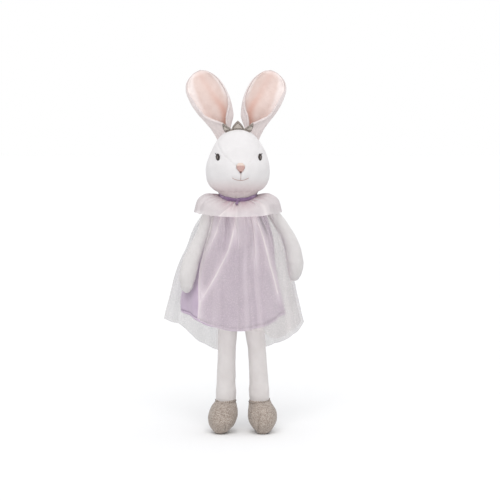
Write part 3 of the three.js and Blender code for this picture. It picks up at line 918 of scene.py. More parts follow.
def ear_section(height, shares):
    """The ear's cross-section at a height, from its inner rolled edge round the back to its outer one."""
    inner, outer = follow(EAR_INNER, height), follow(EAR_OUTER, height)
    cup = follow(EAR_CUP, height)
    upper = smooth(38, 60, height)
    inner_edge = lerp(min(follow(INNER_EDGE, height), inner), inner * 0.985, smooth(36, 46, height))
    outer_edge = lerp(max(follow(OUTER_EDGE, height), -outer), -outer * 0.98, smooth(52, 74, height))
    middle = 0.5 * (inner - outer)
    half = 0.5 * (inner + outer)
    floor = -lerp(0.02, 0.12, upper) * cup
    points = [(inner_edge, -0.92 * cup), (inner, -0.5 * cup), (middle + 0.55 * half, floor), (middle, 0),
              (middle - 0.55 * half, floor), (-outer, -0.5 * cup), (outer_edge, -1.05 * cup)]
    return evenly(spline(points, 90), (shares + 1) / 2)


def ear_rows(low, high):
    """Heights up the ear, closer together towards its tip."""
    return lerp(low, high, 1 - (1 - np.linspace(0, 1, 80)) ** 1.5)[:, None]


def ear_surface(shares, heights):
    """The ear's middle surface at shares from -1 to 1 across each height, and the way its back faces."""
    rows = []
    for row, height in zip(shares, heights[:, 0]):
        across, forwards = ear_section(height, row).T
        rows.append(np.stack([across, forwards, np.full(len(row), height)], -1))
    middle = np.array(rows)
    normal = grid_normals(middle)
    return middle, normal * np.sign(normal[30, shares.shape[1] // 2, 1])


def ear_back(sign):
    """The pale back: its outer and inner grids, beaded low down, where its edges roll over."""
    heights = ear_rows(-9, EAR_TOP)
    shares = np.tile(np.linspace(-1, 1, 101), (len(heights), 1))
    edge = np.abs(shares)
    low = 1 - smooth(34, 60, heights)
    crumple = 1 + 0.3 * np.sin(heights * 0.8 + 2 * sign) + 0.25 * np.sin(heights * 1.7 + shares)
    bead = 0.95 * low * bump(edge, 0.975, 0.055) * crumple
    thin = 1 - 0.8 * smooth(0.88, 1.0, edge) * (1 - low)
    wrinkle = 0.35 * np.sin(9 * np.pi * shares) * (1 - smooth(2, 26, heights))
    middle, normal = ear_surface(shares, heights)
    outer = middle + normal * (0.7 * thin + bead + wrinkle)[..., None]
    return outer, middle - normal * (0.5 * thin + bead - wrinkle)[..., None]


def ear_lining(sign):
    """The pink lining: its front and hidden grids, puffed, folded and rolled along the rim high up."""
    heights = ear_rows(5.5, EAR_TOP - 0.7)
    spread = np.linspace(-1, 1, 91)[None]
    inside = (1 - np.abs(spread) ** 7) * smooth(EAR_TOP + 1, EAR_TOP - 7, heights)
    high = smooth(26, 48, heights) * (1 - 0.6 * smooth(72, 84, heights))
    uneven = 1 + 0.35 * np.sin(heights / 3.3 + 4 * sign) + 0.25 * np.sin(heights / 1.9)
    roll = 1.7 * high * bump(spread, 0.8, 0.15) * uneven + 1.3 * high * bump(spread, -0.86, 0.1) * uneven
    folds = 0.45 * np.sin(4.2 * spread + heights / 11)
    folds = folds + 0.4 * np.sin(11 * spread + 1) * (1 - smooth(8, 45, heights))
    rim = 0.45 * smooth(0.93, 1.0, np.abs(spread)) * smooth(40, 54, heights)
    pad = 0.62 - rim + inside * (0.9 + folds + roll)
    middle, normal = ear_surface(spread * lerp(0.93, 1.0, smooth(30, 52, heights)), heights)
    return middle - normal * pad[..., None], middle - normal * 0.35


def tint_lining(lining, across, along, stretch):
    """Marks the painted shade, deep pink, along the lining's crease, and where it is paler as it rolls over,
    partly a painted highlight.
    """
    # Painted shade, deep pink, along the crease, fading upwards.
    crease = bump(across - follow(EAR_CREASE, along), 0, 4.6) * lerp(1.0, 0.3, smooth(24, 60, along))
    number_points(lining, "deep", np.clip(crease, 0, 1))
    reach = np.where(across > 0, follow(EAR_INNER, along), follow(EAR_OUTER, along))
    share = across / np.maximum(reach, 1)
    # Paler towards both rims and at the tip: partly a painted highlight.
    pale = smooth(0.42, 0.7, -share) * smooth(26, 44, along) + smooth(0.7, 0.9, share) * smooth(34, 50, along)
    pale += smooth(EAR_TOP - 7, EAR_TOP - 1, along / stretch)
    number_points(lining, "rolled", np.clip(pale, 0, 1))


def make_ear(side, sign):
    """A cupped ear: a pale back whose edges roll over below, and a soft pink lining sewn to its rim."""
    root, lean = pivot_mm(f"{side}_ear_flop"), EAR_LEAN[side]
    spin = about_y(lean)

    def place(grid):
        # The tables run towards the other ear, which is +X on the right ear and -X on the left one.
        height = grid[..., 2:]
        ripple = 0.5 * np.sin(height / 9 + grid[..., :1] / 7 + sign) * smooth(15, 60, height)
        sweep = (5.0 * smooth(30, 90, height) + ripple) * [0, 1, 0]
        return (grid * [-sign, 1, EAR_STRETCH[side]] + sweep) @ spin.T + root

    back = make_piece(f"{side}_ear", shell_of(*map(place, ear_back(sign))), EAR_JERSEY)
    lining = make_piece(f"{side}_ear_lining_satin", shell_of(*map(place, ear_lining(sign))), LINING)
    points = (points_of(lining) - root) @ spin
    tint_lining(lining, -sign * points[:, 0], points[:, 2], EAR_STRETCH[side])
    axis = np.array([math.sin(lean), 0, math.cos(lean)])
    ends = (root - 3 * axis, root + 17 * axis)
    crosses(back, "head", f"{side}_ear", *ends, "white_jersey", f"{side}_ear_back", f"{side}_ear_wadding")
    crosses(lining, "head", f"{side}_ear", *ends, "ear_satin", f"{side}_ear_lining")


# ---- arms and legs ---------------------------------------------------------------------------

# Each arm's middle line from the mitten's tip to the shoulder, and the arm's radius along it.
ARM_LINES = {
    "right": [(-24.4, -33, -92.5), (-24.9, -31, -76), (-20.4, -25, -55), (-13, -17, -37), (-5.4, -9, -19),
              (0, 0, 0), (3, 1.5, 6)],
    "left": [(23, -17, -80), (25.5, -17, -65), (24.5, -14, -48), (19, -9, -30), (10, -4, -14), (0, 0, 0),
             (-3, 1, 6)],
}
ARM_RADIUS = [(0, 0), (1.2, 3.4), (4, 6), (10, 8.4), (22, 10.6), (36, 10.8), (58, 9.4), (76, 8.6), (96, 7.6),
              (104, 5), (107, 0)]
# How far each leg bows to +X.
LEG_BOW = {"right": -1.8, "left": 3.4}


def limb_grid(path, radius_table, shrink):
    """A round stuffed limb along a path."""
    run = run_along(path)
    scale = radius_table[-1][0] / run[-1]
    radius = np.maximum(follow(radius_table, run * scale) - shrink, 0)
    radius[[0, -1]] = 0
    return path[:, None] + rings(*frames_along(path), 48) * radius[:, None, None]


def make_arm(side, sign):
    """A stuffed arm with a mitten end, a seam along its inner side and puckers at the shoulder."""
    shoulder = pivot_mm(f"{side}_arm_raise")
    path = spline(np.array(ARM_LINES[side]) + shoulder, 80)
    arm = make_piece(f"{side}_arm", sheet_of(limb_grid(path, ARM_RADIUS, 0.6), True), SHADED_ARM_JERSEY)
    stuff(arm, voxel=2.8, growth=0.9)
    points = points_of(arm)
    push_out(arm, 0.5 * wobble(points, 15, 5 + sign) + 0.25 * wobble(points, 6, sign))
    points = points_of(arm)
    side_way, up_way = frames_along(path)
    inner_line = path[4:-6] + side_way[4:-6] * -sign * 11 + up_way[4:-6] * 3
    tree = tree_of(arm)
    line = np.array([tree.find_nearest(Vector(p))[0] for p in inner_line])
    along = np.array([np.argmin(np.linalg.norm(path - p, axis=1)) for p in points]) / len(path)
    around = np.arctan2(points[:, 1] - shoulder[1], points[:, 0] - shoulder[0])
    pucker = 0.45 * smooth(0.75, 0.97, along) * np.sin(11 * around)
    push_out(arm, seam(points, line, 0.8, 0.6) + pucker)
    rides(arm, f"{side}_arm", "white_jersey", f"{side}_arm_cover", f"{side}_arm_stuffing")


def make_leg(side, sign):
    """A straight stuffed leg with a seam down its back and soft creases above the shoe."""
    hip, ankle = pivot_mm(f"{side}_leg_swing"), pivot_mm(f"{side}_ankle_flex")
    length = np.linalg.norm(ankle - hip)
    down = (ankle - hip) / length
    path = evenly(np.array([hip - down * 8, ankle + down * 15]), 90)
    path[:, 0] += LEG_BOW[side] * np.sin(np.pi * np.linspace(0, 1, 90) ** 0.6)
    radius = [(0, 0), (1.5, 6), (5, 9.4), (12, 10.9), (length * 0.5, 10.9), (length - 12, 11.3),
              (length + 12, 11.7), (length + 17, 10.5), (length + 21, 7), (length + 23, 0)]
    leg = make_piece(f"{side}_leg", sheet_of(limb_grid(path, radius, -0.1), True), SHADED_LEG_JERSEY)
    stuff(leg, voxel=2.8, growth=0.8)
    points = points_of(leg)
    creases = 0.35 * bump(points[:, 2], ankle[2] + 8, 3) * np.sin(3 * points[:, 0] / 5 + sign)
    push_out(leg, 0.4 * wobble(points, 16, 9 + sign) + 0.2 * wobble(points, 6, sign) + creases)
    points = points_of(leg)
    back_line = path[4:-4] + [0, 11, 0]
    inner_line = path[4:-4] + [-sign * 10.5, 2, 0]
    push_out(leg, seam(points, back_line, 0.8, 0.6) + seam(points, inner_line, 0.7, 0.35))
    rides(leg, f"{side}_leg", "white_jersey", f"{side}_leg_cover", f"{side}_leg_stuffing")


# ---- shoes -----------------------------------------------------------------------------------

# The foot's middle line from its toe to the ankle.
FOOT_LINE = [(0, -30, -35.5), (0, -19, -28.8), (0, -8, -19), (0, -1, -8), (0, 0, -2.4)]
# How much higher the ankle's edge stands on the shoe's +X side, and where the shoe's tip leans.
RIM_TILT = {"right": 0.0, "left": 0.15}
TOE_SHIFT = {"right": -3.6, "left": 0.9}
# How far up the front of each shoe its seam shows.
SEAM_TOP = {"right": 14, "left": 25}
# Each foot's roll and turn.
FOOT_TURN = {"right": (math.radians(8), math.radians(-8)), "left": (math.radians(-3), math.radians(8))}
# The shoe's radius, and how far along from the toe.
SHOE_OUTLINE = [(0, 0), (7.5, 1.6), (13.6, 6.5), (17, 14), (17.8, 23), (16.4, 32), (13.2, 42), (11.5, 47)]

# The height of a row of knitting.
KNIT_ROW = 1.9


def foot_turn(side):
    """The foot's roll and turn as one rotation."""
    roll, turn = FOOT_TURN[side]
    return about_y(roll) @ about_z(turn)


def shoe_grid(side, ankle):
    """The shoe from its toe to its edge, and the directions round its middle line."""
    path = spline(np.array(FOOT_LINE) @ foot_turn(side).T + ankle, 70)
    run = np.linalg.norm(np.diff(path, axis=0), axis=1).sum()
    outline = spline([(r, h * run / SHOE_OUTLINE[-1][1]) for r, h in SHOE_OUTLINE], 76)
    tangent = unit(np.gradient(path, axis=0))
    across = unit(np.array([1.0, 0, 0]) - tangent * tangent[:, :1])
    share = outline[:, 1] / run
    even = np.linspace(0, 1, len(path))
    middle, sideways, upwards = [np.stack([np.interp(share, even, c) for c in v.T], 1)
                                 for v in (path, across, np.cross(tangent, across))]
    turn = full_turn(144)
    ring = rings(sideways, upwards, 144)
    rim = smooth(0.72, 1.0, share)[:, None]
    front = np.clip(-np.sign(upwards[-1][1]) * np.sin(turn), 0, 1)[None]
    knit = 0.16 * np.sin(outline[:, 1:] * 2 * np.pi / KNIT_ROW) * np.cos(36 * turn)[None]
    radius = outline[:, :1] + knit * smooth(0, 8, outline[:, 1:])
    grid = middle[:, None] + ring * radius[..., None]
    level = middle[:, None, 2] + RIM_TILT[side] * (grid[..., 0] - middle[:, None, 0]) - 1.4 * rim * front
    grid[..., 2] = lerp(grid[..., 2], level, rim)
    grid[..., 2] += 0.35 * smooth(0.94, 1.0, share)[:, None] * np.sin(30 * turn)[None]
    low = (1 - np.clip(grid[..., 2], 0, 26) / 26) ** 2
    beside = grid[..., 0] - ankle[0]
    grid[..., 0] = ankle[0] + beside * (1 - 0.3 * low) + TOE_SHIFT[side] * low + 1.2 * (1 - rim)
    return grid, ring


def shoe_front_seam(shoe, x, top):
    """Where the seam runs down the shoe's front, from a height to just above the sole."""
    tree = tree_of(shoe)
    forwards = Vector((0, 1, 0))
    return np.array([tree.ray_cast(Vector((x, -90, z)), forwards)[0] for z in np.linspace(top, 4, 24)])


def make_shoe(side, sign):
    """A knitted glitter shoe with a seam up its front and a scalloped edge turned in at the ankle."""
    ankle = pivot_mm(f"{side}_ankle_flex")
    grid, ring = shoe_grid(side, ankle)
    inner = grid[-12:][::-1] - (ring[-12:] * 1.3)[::-1]
    turned_in = np.concatenate([grid, (grid[-1:] * 0.5 + inner[:1] * 0.5) + [0, 0, 0.5], inner])
    shoe = make_piece(f"{side}_knit_shoe", sheet_of(turned_in, True), KNIT)
    points = points_of(shoe)
    push_out(shoe, 0.5 * wobble(points, 13, 2 + sign) + 0.3 * wobble(points, 5, sign))
    line = shoe_front_seam(shoe, ankle[0] - 0.6, SEAM_TOP[side])
    push_out(shoe, seam(points_of(shoe), line, 0.9, 0.6))
    points = points_of(shoe)
    floor = 0.25 + 0.12 * np.sin(points[:, 0] * 3) * np.sin(points[:, 1] * 3)
    points[:, 2] = np.maximum(points[:, 2], floor)
    put_points(shoe, points)
    rides(shoe, f"{side}_foot", "glitter_knit", f"{side}_shoe", f"{side}_foot_stuffing")
    edge = stitched_line(grid[-4] + ring[-4] * 0.5, 0.36, 1.3, 1.2)
    rides(make_piece(f"{side}_shoe_edge_stitches", edge, EDGE_THREAD), f"{side}_foot", "glitter_knit")
    thread = stitched_line(line + [0, -0.15, 0], 0.3, 1.6, 0.5)
    rides(make_piece(f"{side}_shoe_seam_thread", thread, KNIT), f"{side}_foot", "glitter_knit")


# ---- body and neck ---------------------------------------------------------------------------

# Radius and height, up from the hips to the shoulders.
BODY_OUTLINE = [(25.5, 160), (29.6, 181), (28.6, 210), (25.6, 240), (24.6, 257), (22, 267), (17, 272),
                (8, 273.5), (0, 273.8)]
BODY_DEPTH = 0.85


def make_body():
    """The stuffed body under the dress."""
    bottom = box_mm("torso_cover")[0][2]
    outline = [(0, bottom), (15, bottom + 0.5)] + BODY_OUTLINE
    rows = spline([(max(r - 0.8, 0), z) for r, z in outline], 60)
    turn = full_turn(64)
    x, y = rows[:, :1] * np.sin(turn), -BODY_DEPTH * rows[:, :1] * np.cos(turn)
    grid = np.stack([x, y, np.repeat(rows[:, 1:], 64, 1)], -1)
    body = make_piece("body_cover", sheet_of(grid, True), JERSEY)
    stuff(body, voxel=4.5, growth=0.8, levels=1)
    points = points_of(body)
    back_line = points * [0, 0, 1] + [0, BODY_DEPTH * 29, 0]
    back_seam = 0.8 * bump(np.linalg.norm(points - back_line, axis=1), 0, 2.5)
    push_out(body, 0.5 * wobble(points, 20, 4) - back_seam)
    rides(body, "torso", "white_jersey", "torso_cover", "torso_stuffing")


def make_neck():
    """The neck's cover, gathered where the head is sewn on."""
    bottom, top, seam_line = NECK[2] - 12, HEAD_TOP - 72, HEAD_TOP - 77
    heights = np.linspace(bottom, top, 30)
    radius = follow([(bottom, 15), (NECK[2], 18.4), (NECK[2] + 12, 20.6), (NECK[2] + 17, 21.6),
                     (seam_line, 23.4), (top, 24.6)], heights)[:, None]
    turn = full_turn(88)
    gathered = radius + 0.4 * np.sin(22 * turn)[None] * smooth(NECK[2] + 4, NECK[2] + 12, heights)[:, None]
    x, y = gathered * np.sin(turn), -gathered * np.cos(turn)
    grid = np.stack([x, y, np.repeat(heights[:, None], 88, 1)], -1)
    cover = shell_of(grid + [NECK[0], 0, 0], grid * [0.9, 0.9, 1] + [NECK[0], 0, 0], True)
    neck = make_piece("neck_cover", cover, HEAD_JERSEY)
    # Painted shade: pinkish, all over the neck under the chin.
    number_points(neck, "chin_shade", np.full(len(neck.data.vertices), 0.75))
    crosses(neck, "neck", "head", (0, 0, NECK[2] + 8), (0, 0, NECK[2] + 20), "white_jersey", "neck")


# ---- dress -----------------------------------------------------------------------------------

DRESS_TOP = box_mm("dress_front")[1][2]
# How high the hem hangs on each side, and how wide its turned-up band is.
HEM = {"front": 127.0, "back": 134.0, "right": 147.0, "left": 142.5, "band": 3.4}
CHEST = 240.0
# The dress's two sides: (height, x). Its right side hangs out further than its left one.
DRESS_RIGHT = [(125, -70), (146, -70.3), (155, -72), (171, -69.5), (188, -60), (205, -50.5), (225, -42.5),
               (240, -37.5), (255, -32.5), (270, -27)]
DRESS_LEFT = [(125, 53.5), (140, 53), (155, 51.5), (171, 48), (202, 42.5), (225, 40.5), (240, 38),
              (255, 33.5), (270, 27)]
# (height, angle) of a deep crease on its left, both grooved and painted dark as shade.
DRESS_CREASE = [(225, 1.1), (238, 1.02), (252, 0.92), (266, 0.84)]
# Painted shade on its front between the gathers: (x, width, the heights it deepens between, depth).
DRESS_SHADOWS = [(-3.0, 1.4, 230, 256, 0.5), (14.0, 2.6, 200, 236, 0.22), (-16.0, 2.4, 232, 258, 0.16),
                 (-28.0, 2.0, 236, 258, 0.3), (5.5, 2.0, 200, 225, 0.1)]


def dress_reach(z):
    """The dress's half width and half depth at a height, and where its middle hangs."""
    down = np.clip((CHEST - z) / (CHEST - HEM["front"]), 0, 1)
    chest = np.clip((DRESS_TOP - z) / (DRESS_TOP - CHEST), 0, 1)
    right, left = follow(DRESS_RIGHT, z), follow(DRESS_LEFT, z)
    return (left - right) / 2, lerp(24.4, 26, chest) + 20 * down, (left + right) / 2


def hem_height(angle):
    """How high the hem hangs at an angle from the front."""
    lowest = np.where(np.cos(angle) > 0, HEM["front"], HEM["back"])
    side = np.where(np.sin(angle) > 0, HEM["left"], HEM["right"])
    return lerp(side, lowest, np.cos(angle) ** 2)


def dress_point(angle, z, out=0.0):
    """A point of the dress at an angle from the front, with the soft flutes that its flare makes."""
    wide, deep, shift = dress_reach(z)
    down = np.clip((CHEST + 10 - z) / 120, 0, 1)
    flutes = 1.9 * down ** 1.4 * np.sin(9 * angle + 0.8) + 1.1 * down * np.sin(17 * angle + 2 + 0.01 * z)
    gathers = 0.5 * smooth(215, 262, z) * np.sin(44 * angle)
    groove = 1.6 * bump(angle, follow(DRESS_CREASE, z), 0.06) * smooth(230, 242, z)
    swell = 1 + (flutes + gathers + out - groove) / np.maximum(wide, 1)
    return np.stack([shift + wide * swell * np.sin(angle), -deep * swell * np.cos(angle), z], -1)


def middle_angle(z):
    """The angle at which the dress crosses the middle plane, which its slant moves off the front."""
    wide, _, shift = dress_reach(z)
    return np.arcsin(np.clip(-shift / wide, -1, 1))


def half_dress(sign, top, bottom, rows, out, columns=110):
    """Half the dress, front middle to back middle, between two heights given as functions of the angle."""
    share, t = np.meshgrid(np.linspace(0, 1, columns), np.linspace(0, 1, rows))
    rough = sign * np.pi * share
    z = lerp(top(rough), bottom(rough), t)
    start = middle_angle(z)
    end = sign * np.pi - start
    return dress_point(lerp(start, end, share), z, out)


def skirt_lift(most):
    """How much each point of the skirt follows the leg in front of which it hangs."""

    def share(points):
        x, y, z = points.T
        front = 1 - smooth(-36, -10, y)
        across = smooth(0, 6, np.abs(x)) * (1 - 0.5 * smooth(45, 75, np.abs(x)))
        return most * (1 - smooth(131, 188, z)) * front * across

    return share


def make_dress():
    """The dress in two halves, each with its turned-up hem band and a line of stitches above it."""
    band_top = lambda angle: hem_height(angle) + HEM["band"]
    over_band = lambda angle: hem_height(angle) + HEM["band"] + 0.2
    top = lambda angle: DRESS_TOP + 0 * angle
    nodes = {"right": ("dress_front", "dress_hem"), "left": ("dress_back",)}
    lift = skirt_lift(0.42)
    for side, sign in SIDES.items():
        outer = half_dress(sign, top, over_band, 70, 0.0)
        inner = half_dress(sign, top, over_band, 70, -0.7)
        dress = make_piece(f"dress_{side}_half", shell_of(outer, inner), LAVENDER)
        x, y, z = points_of(dress).T
        wide, deep, shift = dress_reach(z)
        angle = np.arctan2((x - shift) / wide, -y / deep)
        # Painted shade: dark purple along the deep crease and on the front between the gathers.
        crease = bump(angle, follow(DRESS_CREASE, z), 0.06) * smooth(228, 250, z)
        for at, width, low, high, depth in DRESS_SHADOWS:
            crease = crease + depth * bump(x, at, width) * smooth(low, high, z) * (y < 0)
        number_points(dress, "crease", np.clip(crease, 0, 1))
        bends(dress, "torso", f"{side}_leg", "lavender_cotton", lift, *nodes[side])
        profile = np.array([-0.5, 0.35, 0.7, 0.75, 0.7, 0.65, 0.5, -0.1])
        outer = half_dress(sign, band_top, hem_height, len(profile), profile[:, None])
        inner = half_dress(sign, band_top, hem_height, len(profile), -0.9)
        band = make_piece(f"dress_{side}_hem_band", shell_of(outer, inner), LAVENDER)
        bends(band, "torso", f"{side}_leg", "lavender_cotton", lift)
        line = half_dress(sign, over_band, over_band, 2, 0.45, 300)[0]
        stitches = make_piece(f"dress_{side}_hem_stitches", stitched_line(line, 0.3, 2.2, 1.1), HEM_THREAD)
        bends(stitches, "torso", f"{side}_leg", "lavender_cotton", lift)
        for part in (dress, band, stitches):
            part.visible_shadow = False


# ---- tulle overlay ---------------------------------------------------------------------------

TULLE_TOP = 262.0
# The front panel's two edges: (height, x).
PANEL_RIGHT = [(120, -52), (145, -50.4), (205, -48), (228, -42), (245, -37.5), (262, -33.6)]
PANEL_LEFT = [(120, 74), (135, 72.5), (152, 69), (164, 66), (181, 62), (203, 57), (227, 51.5), (242, 46.5),
              (262, 36)]
# Folds where the tulle doubles over itself, each with a painted highlight along it: (height, share of the way
# across).
FOLDS = [
    {"line": [(160, 0.04), (169, 0.08), (195.7, 0.215), (223.5, 0.32), (245, 0.36), (262, 0.41)],
     "size": 2.6, "from": 150},
    {"line": [(200, 0.63), (213, 0.636), (241, 0.649), (262, 0.664)], "size": 1.8, "from": 196},
    {"line": [(132, 0.832), (170, 0.828), (186, 0.822), (210, 0.795), (233, 0.765), (262, 0.738)],
     "size": 2.6, "from": 150},
    {"line": [(126, 0.035), (200, 0.03), (262, 0.03)], "size": 1.6, "from": 120},
    {"line": [(200, 0.05), (224, 0.085), (240.5, 0.12), (262, 0.17)], "size": 2.2, "from": 204},
    {"line": [(222, 0.43), (231, 0.424), (262, 0.45)], "size": 1.5, "from": 218},
    {"line": [(222, 0.53), (240, 0.54), (262, 0.56)], "size": 1.2, "from": 226},
]


def gathers(share, count, seed):
    """Uneven gathers along a drawn-up edge."""
    turn = 2 * np.pi * share
    drift = 0.9 * np.sin(turn * count * 0.31 + seed) + 0.7 * np.sin(turn * 2.7 + 2 * seed)
    strength = 0.75 + 0.4 * np.sin(turn * count * 0.23 + 3 * seed)
    return strength * np.sin(turn * count + 1.6 * drift + seed)


# The front panel's lower edge: (x, height).
PANEL_HEM = [(-54, 143), (-46, 140.5), (-40, 137.5), (-22, 131), (0, 129), (14, 128.8), (28, 126.5),
             (36, 121), (50, 121), (62, 128), (74, 138)]
PANEL_BOTTOM = 128


def panel_depth(x, t):
    """How far forward the front panel hangs: over the dress, and over the left arm's inner side."""
    over_arm = 22 * smooth(28, 46, x) * np.sin(np.pi * np.minimum(t * 1.3, 1)) * (1 - 0.9 * t)
    return lerp(30, 57, t) - 0.0055 * x * x * (1 - 0.4 * t) + over_arm


def front_panel(share, t):
    """The front panel from its right edge to its left one, gathered along the top."""
    z = lerp(TULLE_TOP, PANEL_BOTTOM, t)
    right, left = follow(PANEL_RIGHT, z), follow(PANEL_LEFT, z)
    x = lerp(right, left, share)
    z = lerp(TULLE_TOP, follow(PANEL_HEM, x), t)
    right, left = follow(PANEL_RIGHT, z), follow(PANEL_LEFT, z)
    x = lerp(right, left, share)
    y = -panel_depth(x, t)
    high = 1 - smooth(0.0, 0.6, t)
    y += 1.4 * high * gathers(share, 15, 0.4) + 1.8 * high * gathers(share, 7, 2)
    y += 3.0 * smooth(0.1, 1, t) * gathers(share + 0.04 * t, 3.4, 1) + 0.9 * t * gathers(share, 8, 3)
    # Painted highlights along the panel's right edge, its hem, the crests of its broad folds and each fold
    # below.
    painted_highlight = 0.8 * bump(share, 0, 0.014) + 0.12 * bump(t, 1, 0.006) + 0 * x
    painted_highlight += 0.3 * smooth(0.05, 0.5, t) * np.clip(gathers(share + 0.06 * t, 4.2, 1.3), 0, 1)
    for fold in FOLDS:
        centre = follow(fold["line"], z)
        strength = smooth(fold["from"] - 1, fold["from"] + 28, z)
        tau = (share - centre) * (left - right) / 2.4
        x -= fold["size"] * 1.7 * strength * tau * np.exp(-0.5 * tau ** 2)
        y -= fold["size"] * strength * (np.tanh(tau) - np.tanh(tau / 5))
        painted_highlight += strength * (0.3 + 0.28 * fold["size"]) * bump(tau, 0, 1.6)
    return np.stack([x, y, z], -1), np.clip(painted_highlight, 0, 1)


def make_front_panel():
    """The sheer front of the overlay, in two halves that meet between the legs."""
    t = np.linspace(0, 1, 110)[:, None]
    lift = skirt_lift(0.5)
    z = lerp(TULLE_TOP, PANEL_BOTTOM, t)
    for side in SIDES:
        middle = -follow(PANEL_RIGHT, z) / (follow(PANEL_LEFT, z) - follow(PANEL_RIGHT, z))
        ends = (0 * t, middle) if side == "right" else (middle, 0 * t + 1)
        share = lerp(ends[0], ends[1], np.linspace(0, 1, 230)[None])
        grid, painted_highlight = front_panel(share, t + 0 * share)
        piece = make_piece(f"tulle_front_{side}_half", sheet_of(grid), TULLE, True)
        piece.visible_shadow = False
        number_points(piece, "painted_highlight", painted_highlight.ravel())
        nodes = ["tulle_front_panel"] if side == "right" else []
        bends(piece, "torso", f"{side}_leg", "glitter_tulle", lift, *nodes)


# How far out each half of the back hangs: (height, reach).
BACK_EDGE = {
    "right": [(130, 93.5), (137.5, 92), (163, 85.5), (187, 79.5), (205, 73), (219, 66), (247, 55), (262, 45)],
    "left": [(130, 78), (134.5, 76.5), (152, 72.5), (164, 69.5), (181, 66), (205, 60), (219, 56), (247, 47),
             (262, 42)],
}
# How far from the middle the slit's two edges end, behind the legs.
BACK_SLIT = {"right": 8.5, "left": 14.5}
# Its lower edge: (share of the way out, height).
BACK_HEM = {
    "right": [(0, 87), (0.27, 91), (0.38, 96), (0.5, 102), (0.63, 113.5), (0.74, 123), (0.9, 130),
              (1, 134.4)],
    "left": [(0, 88), (0.37, 96.5), (0.52, 101), (0.75, 110), (0.92, 121.5), (1, 131)],
}


def back_panel(side, share, t):
    """One half of the back, from the slit in its middle round to its outer edge."""
    hem = follow(BACK_HEM[side], share)
    z = lerp(TULLE_TOP, hem, t)
    slit = lerp(0.3, BACK_SLIT[side], smooth(0.25, 1, t))
    edge = follow(BACK_EDGE[side], np.maximum(z, 130))
    x = lerp(slit, edge, share)
    y = lerp(30, 57, t) * np.cos(share * lerp(0.9, 1.32, t))
    high = 1 - smooth(0.0, 0.7, t)
    y += 1.6 * high * gathers(share, 10, 1) + 2.6 * smooth(0.1, 1, t) * gathers(share + 0.05 * t, 2.4, 2)
    y += 0.5 * t * gathers(share, 6, 3)
    width = edge - slit
    for at, size in ((0.2, 2.0), (0.42, 2.4), (0.66, 2.2), (0.86, 1.6)):
        tau = (share - at - 0.03 * np.sin(3 * t)) * width / 1.5
        strength = smooth(0.95, 0.35, t)
        x = x - size * 1.25 * strength * tau * np.exp(-0.5 * tau ** 2)
        y = y + size * strength * (np.tanh(tau) - np.tanh(tau / 5))
    return np.stack([SIDES[side] * x, y, z], -1)


def make_back_panels():
    """The sheer back of the overlay, in two halves parted by a slit."""
    for side in SIDES:
        share, t = np.meshgrid(np.linspace(0, 1, 220), np.linspace(0, 1, 110))
        piece = make_piece(f"tulle_back_{side}_half", sheet_of(back_panel(side, share, t)), SHADED_BACK_TULLE, True)
        piece.visible_shadow = False
        rides(piece, "torso", "glitter_tulle", f"tulle_back_{side}")


# ---- collar and ribbon -----------------------------------------------------------------------

# From the ribbon to the ruffle's hem: how far out it reaches to the sides and front, and its heights.
COLLAR = {
    "at": (0, 0.2, 0.45, 0.7, 1),
    "wide": (21.2, 27, 38, 47.5, 52.5),
    "deep": (21.2, 25, 31, 36.5, 40.5),
    "side": (283, 285.2, 286, 280, 265),
    "front": (278.2, 277.4, 273.8, 268.2, 261),
    "back": (283, 284.5, 281.5, 274, 262),
}


def collar_point(angle, t, out=0.0):
    """The ruffle: it rises from the ribbon, turns over the shoulders and falls to its hem."""
    sideways = np.abs(np.sin(angle)) ** 2.6
    back = smooth(0.2, -0.6, np.cos(angle))
    reach_x, reach_y, side, front, behind = [follow(list(zip(COLLAR["at"], COLLAR[name])), t)
                                             for name in ("wide", "deep", "side", "front", "back")]
    reach_x, reach_y = reach_x + out, reach_y + out
    z = lerp(lerp(front, behind, back), side, sideways)
    near = 1 - smooth(0.1, 0.8, t)
    turn = angle / (2 * np.pi)
    flute = 1.9 * near * gathers(turn, 28, 1) + 1.9 * smooth(0.1, 1, t) * gathers(turn, 9, 2) \
        + 0.9 * smooth(0, 0.6, t) * gathers(turn, 19, 0.5)
    x = NECK[0] + (reach_x + 0.5 * flute) * np.sin(angle)
    y = -(reach_y + 0.9 * flute) * np.cos(angle)
    return np.stack([x, y, z + 0.7 * flute * sideways], -1)


def collar_lift(sign):
    """How much each point of one half of the ruffle follows the arm under it."""
    return lambda points: 0.5 * smooth(22, 50, (points[:, 0] - NECK[0]) * sign)


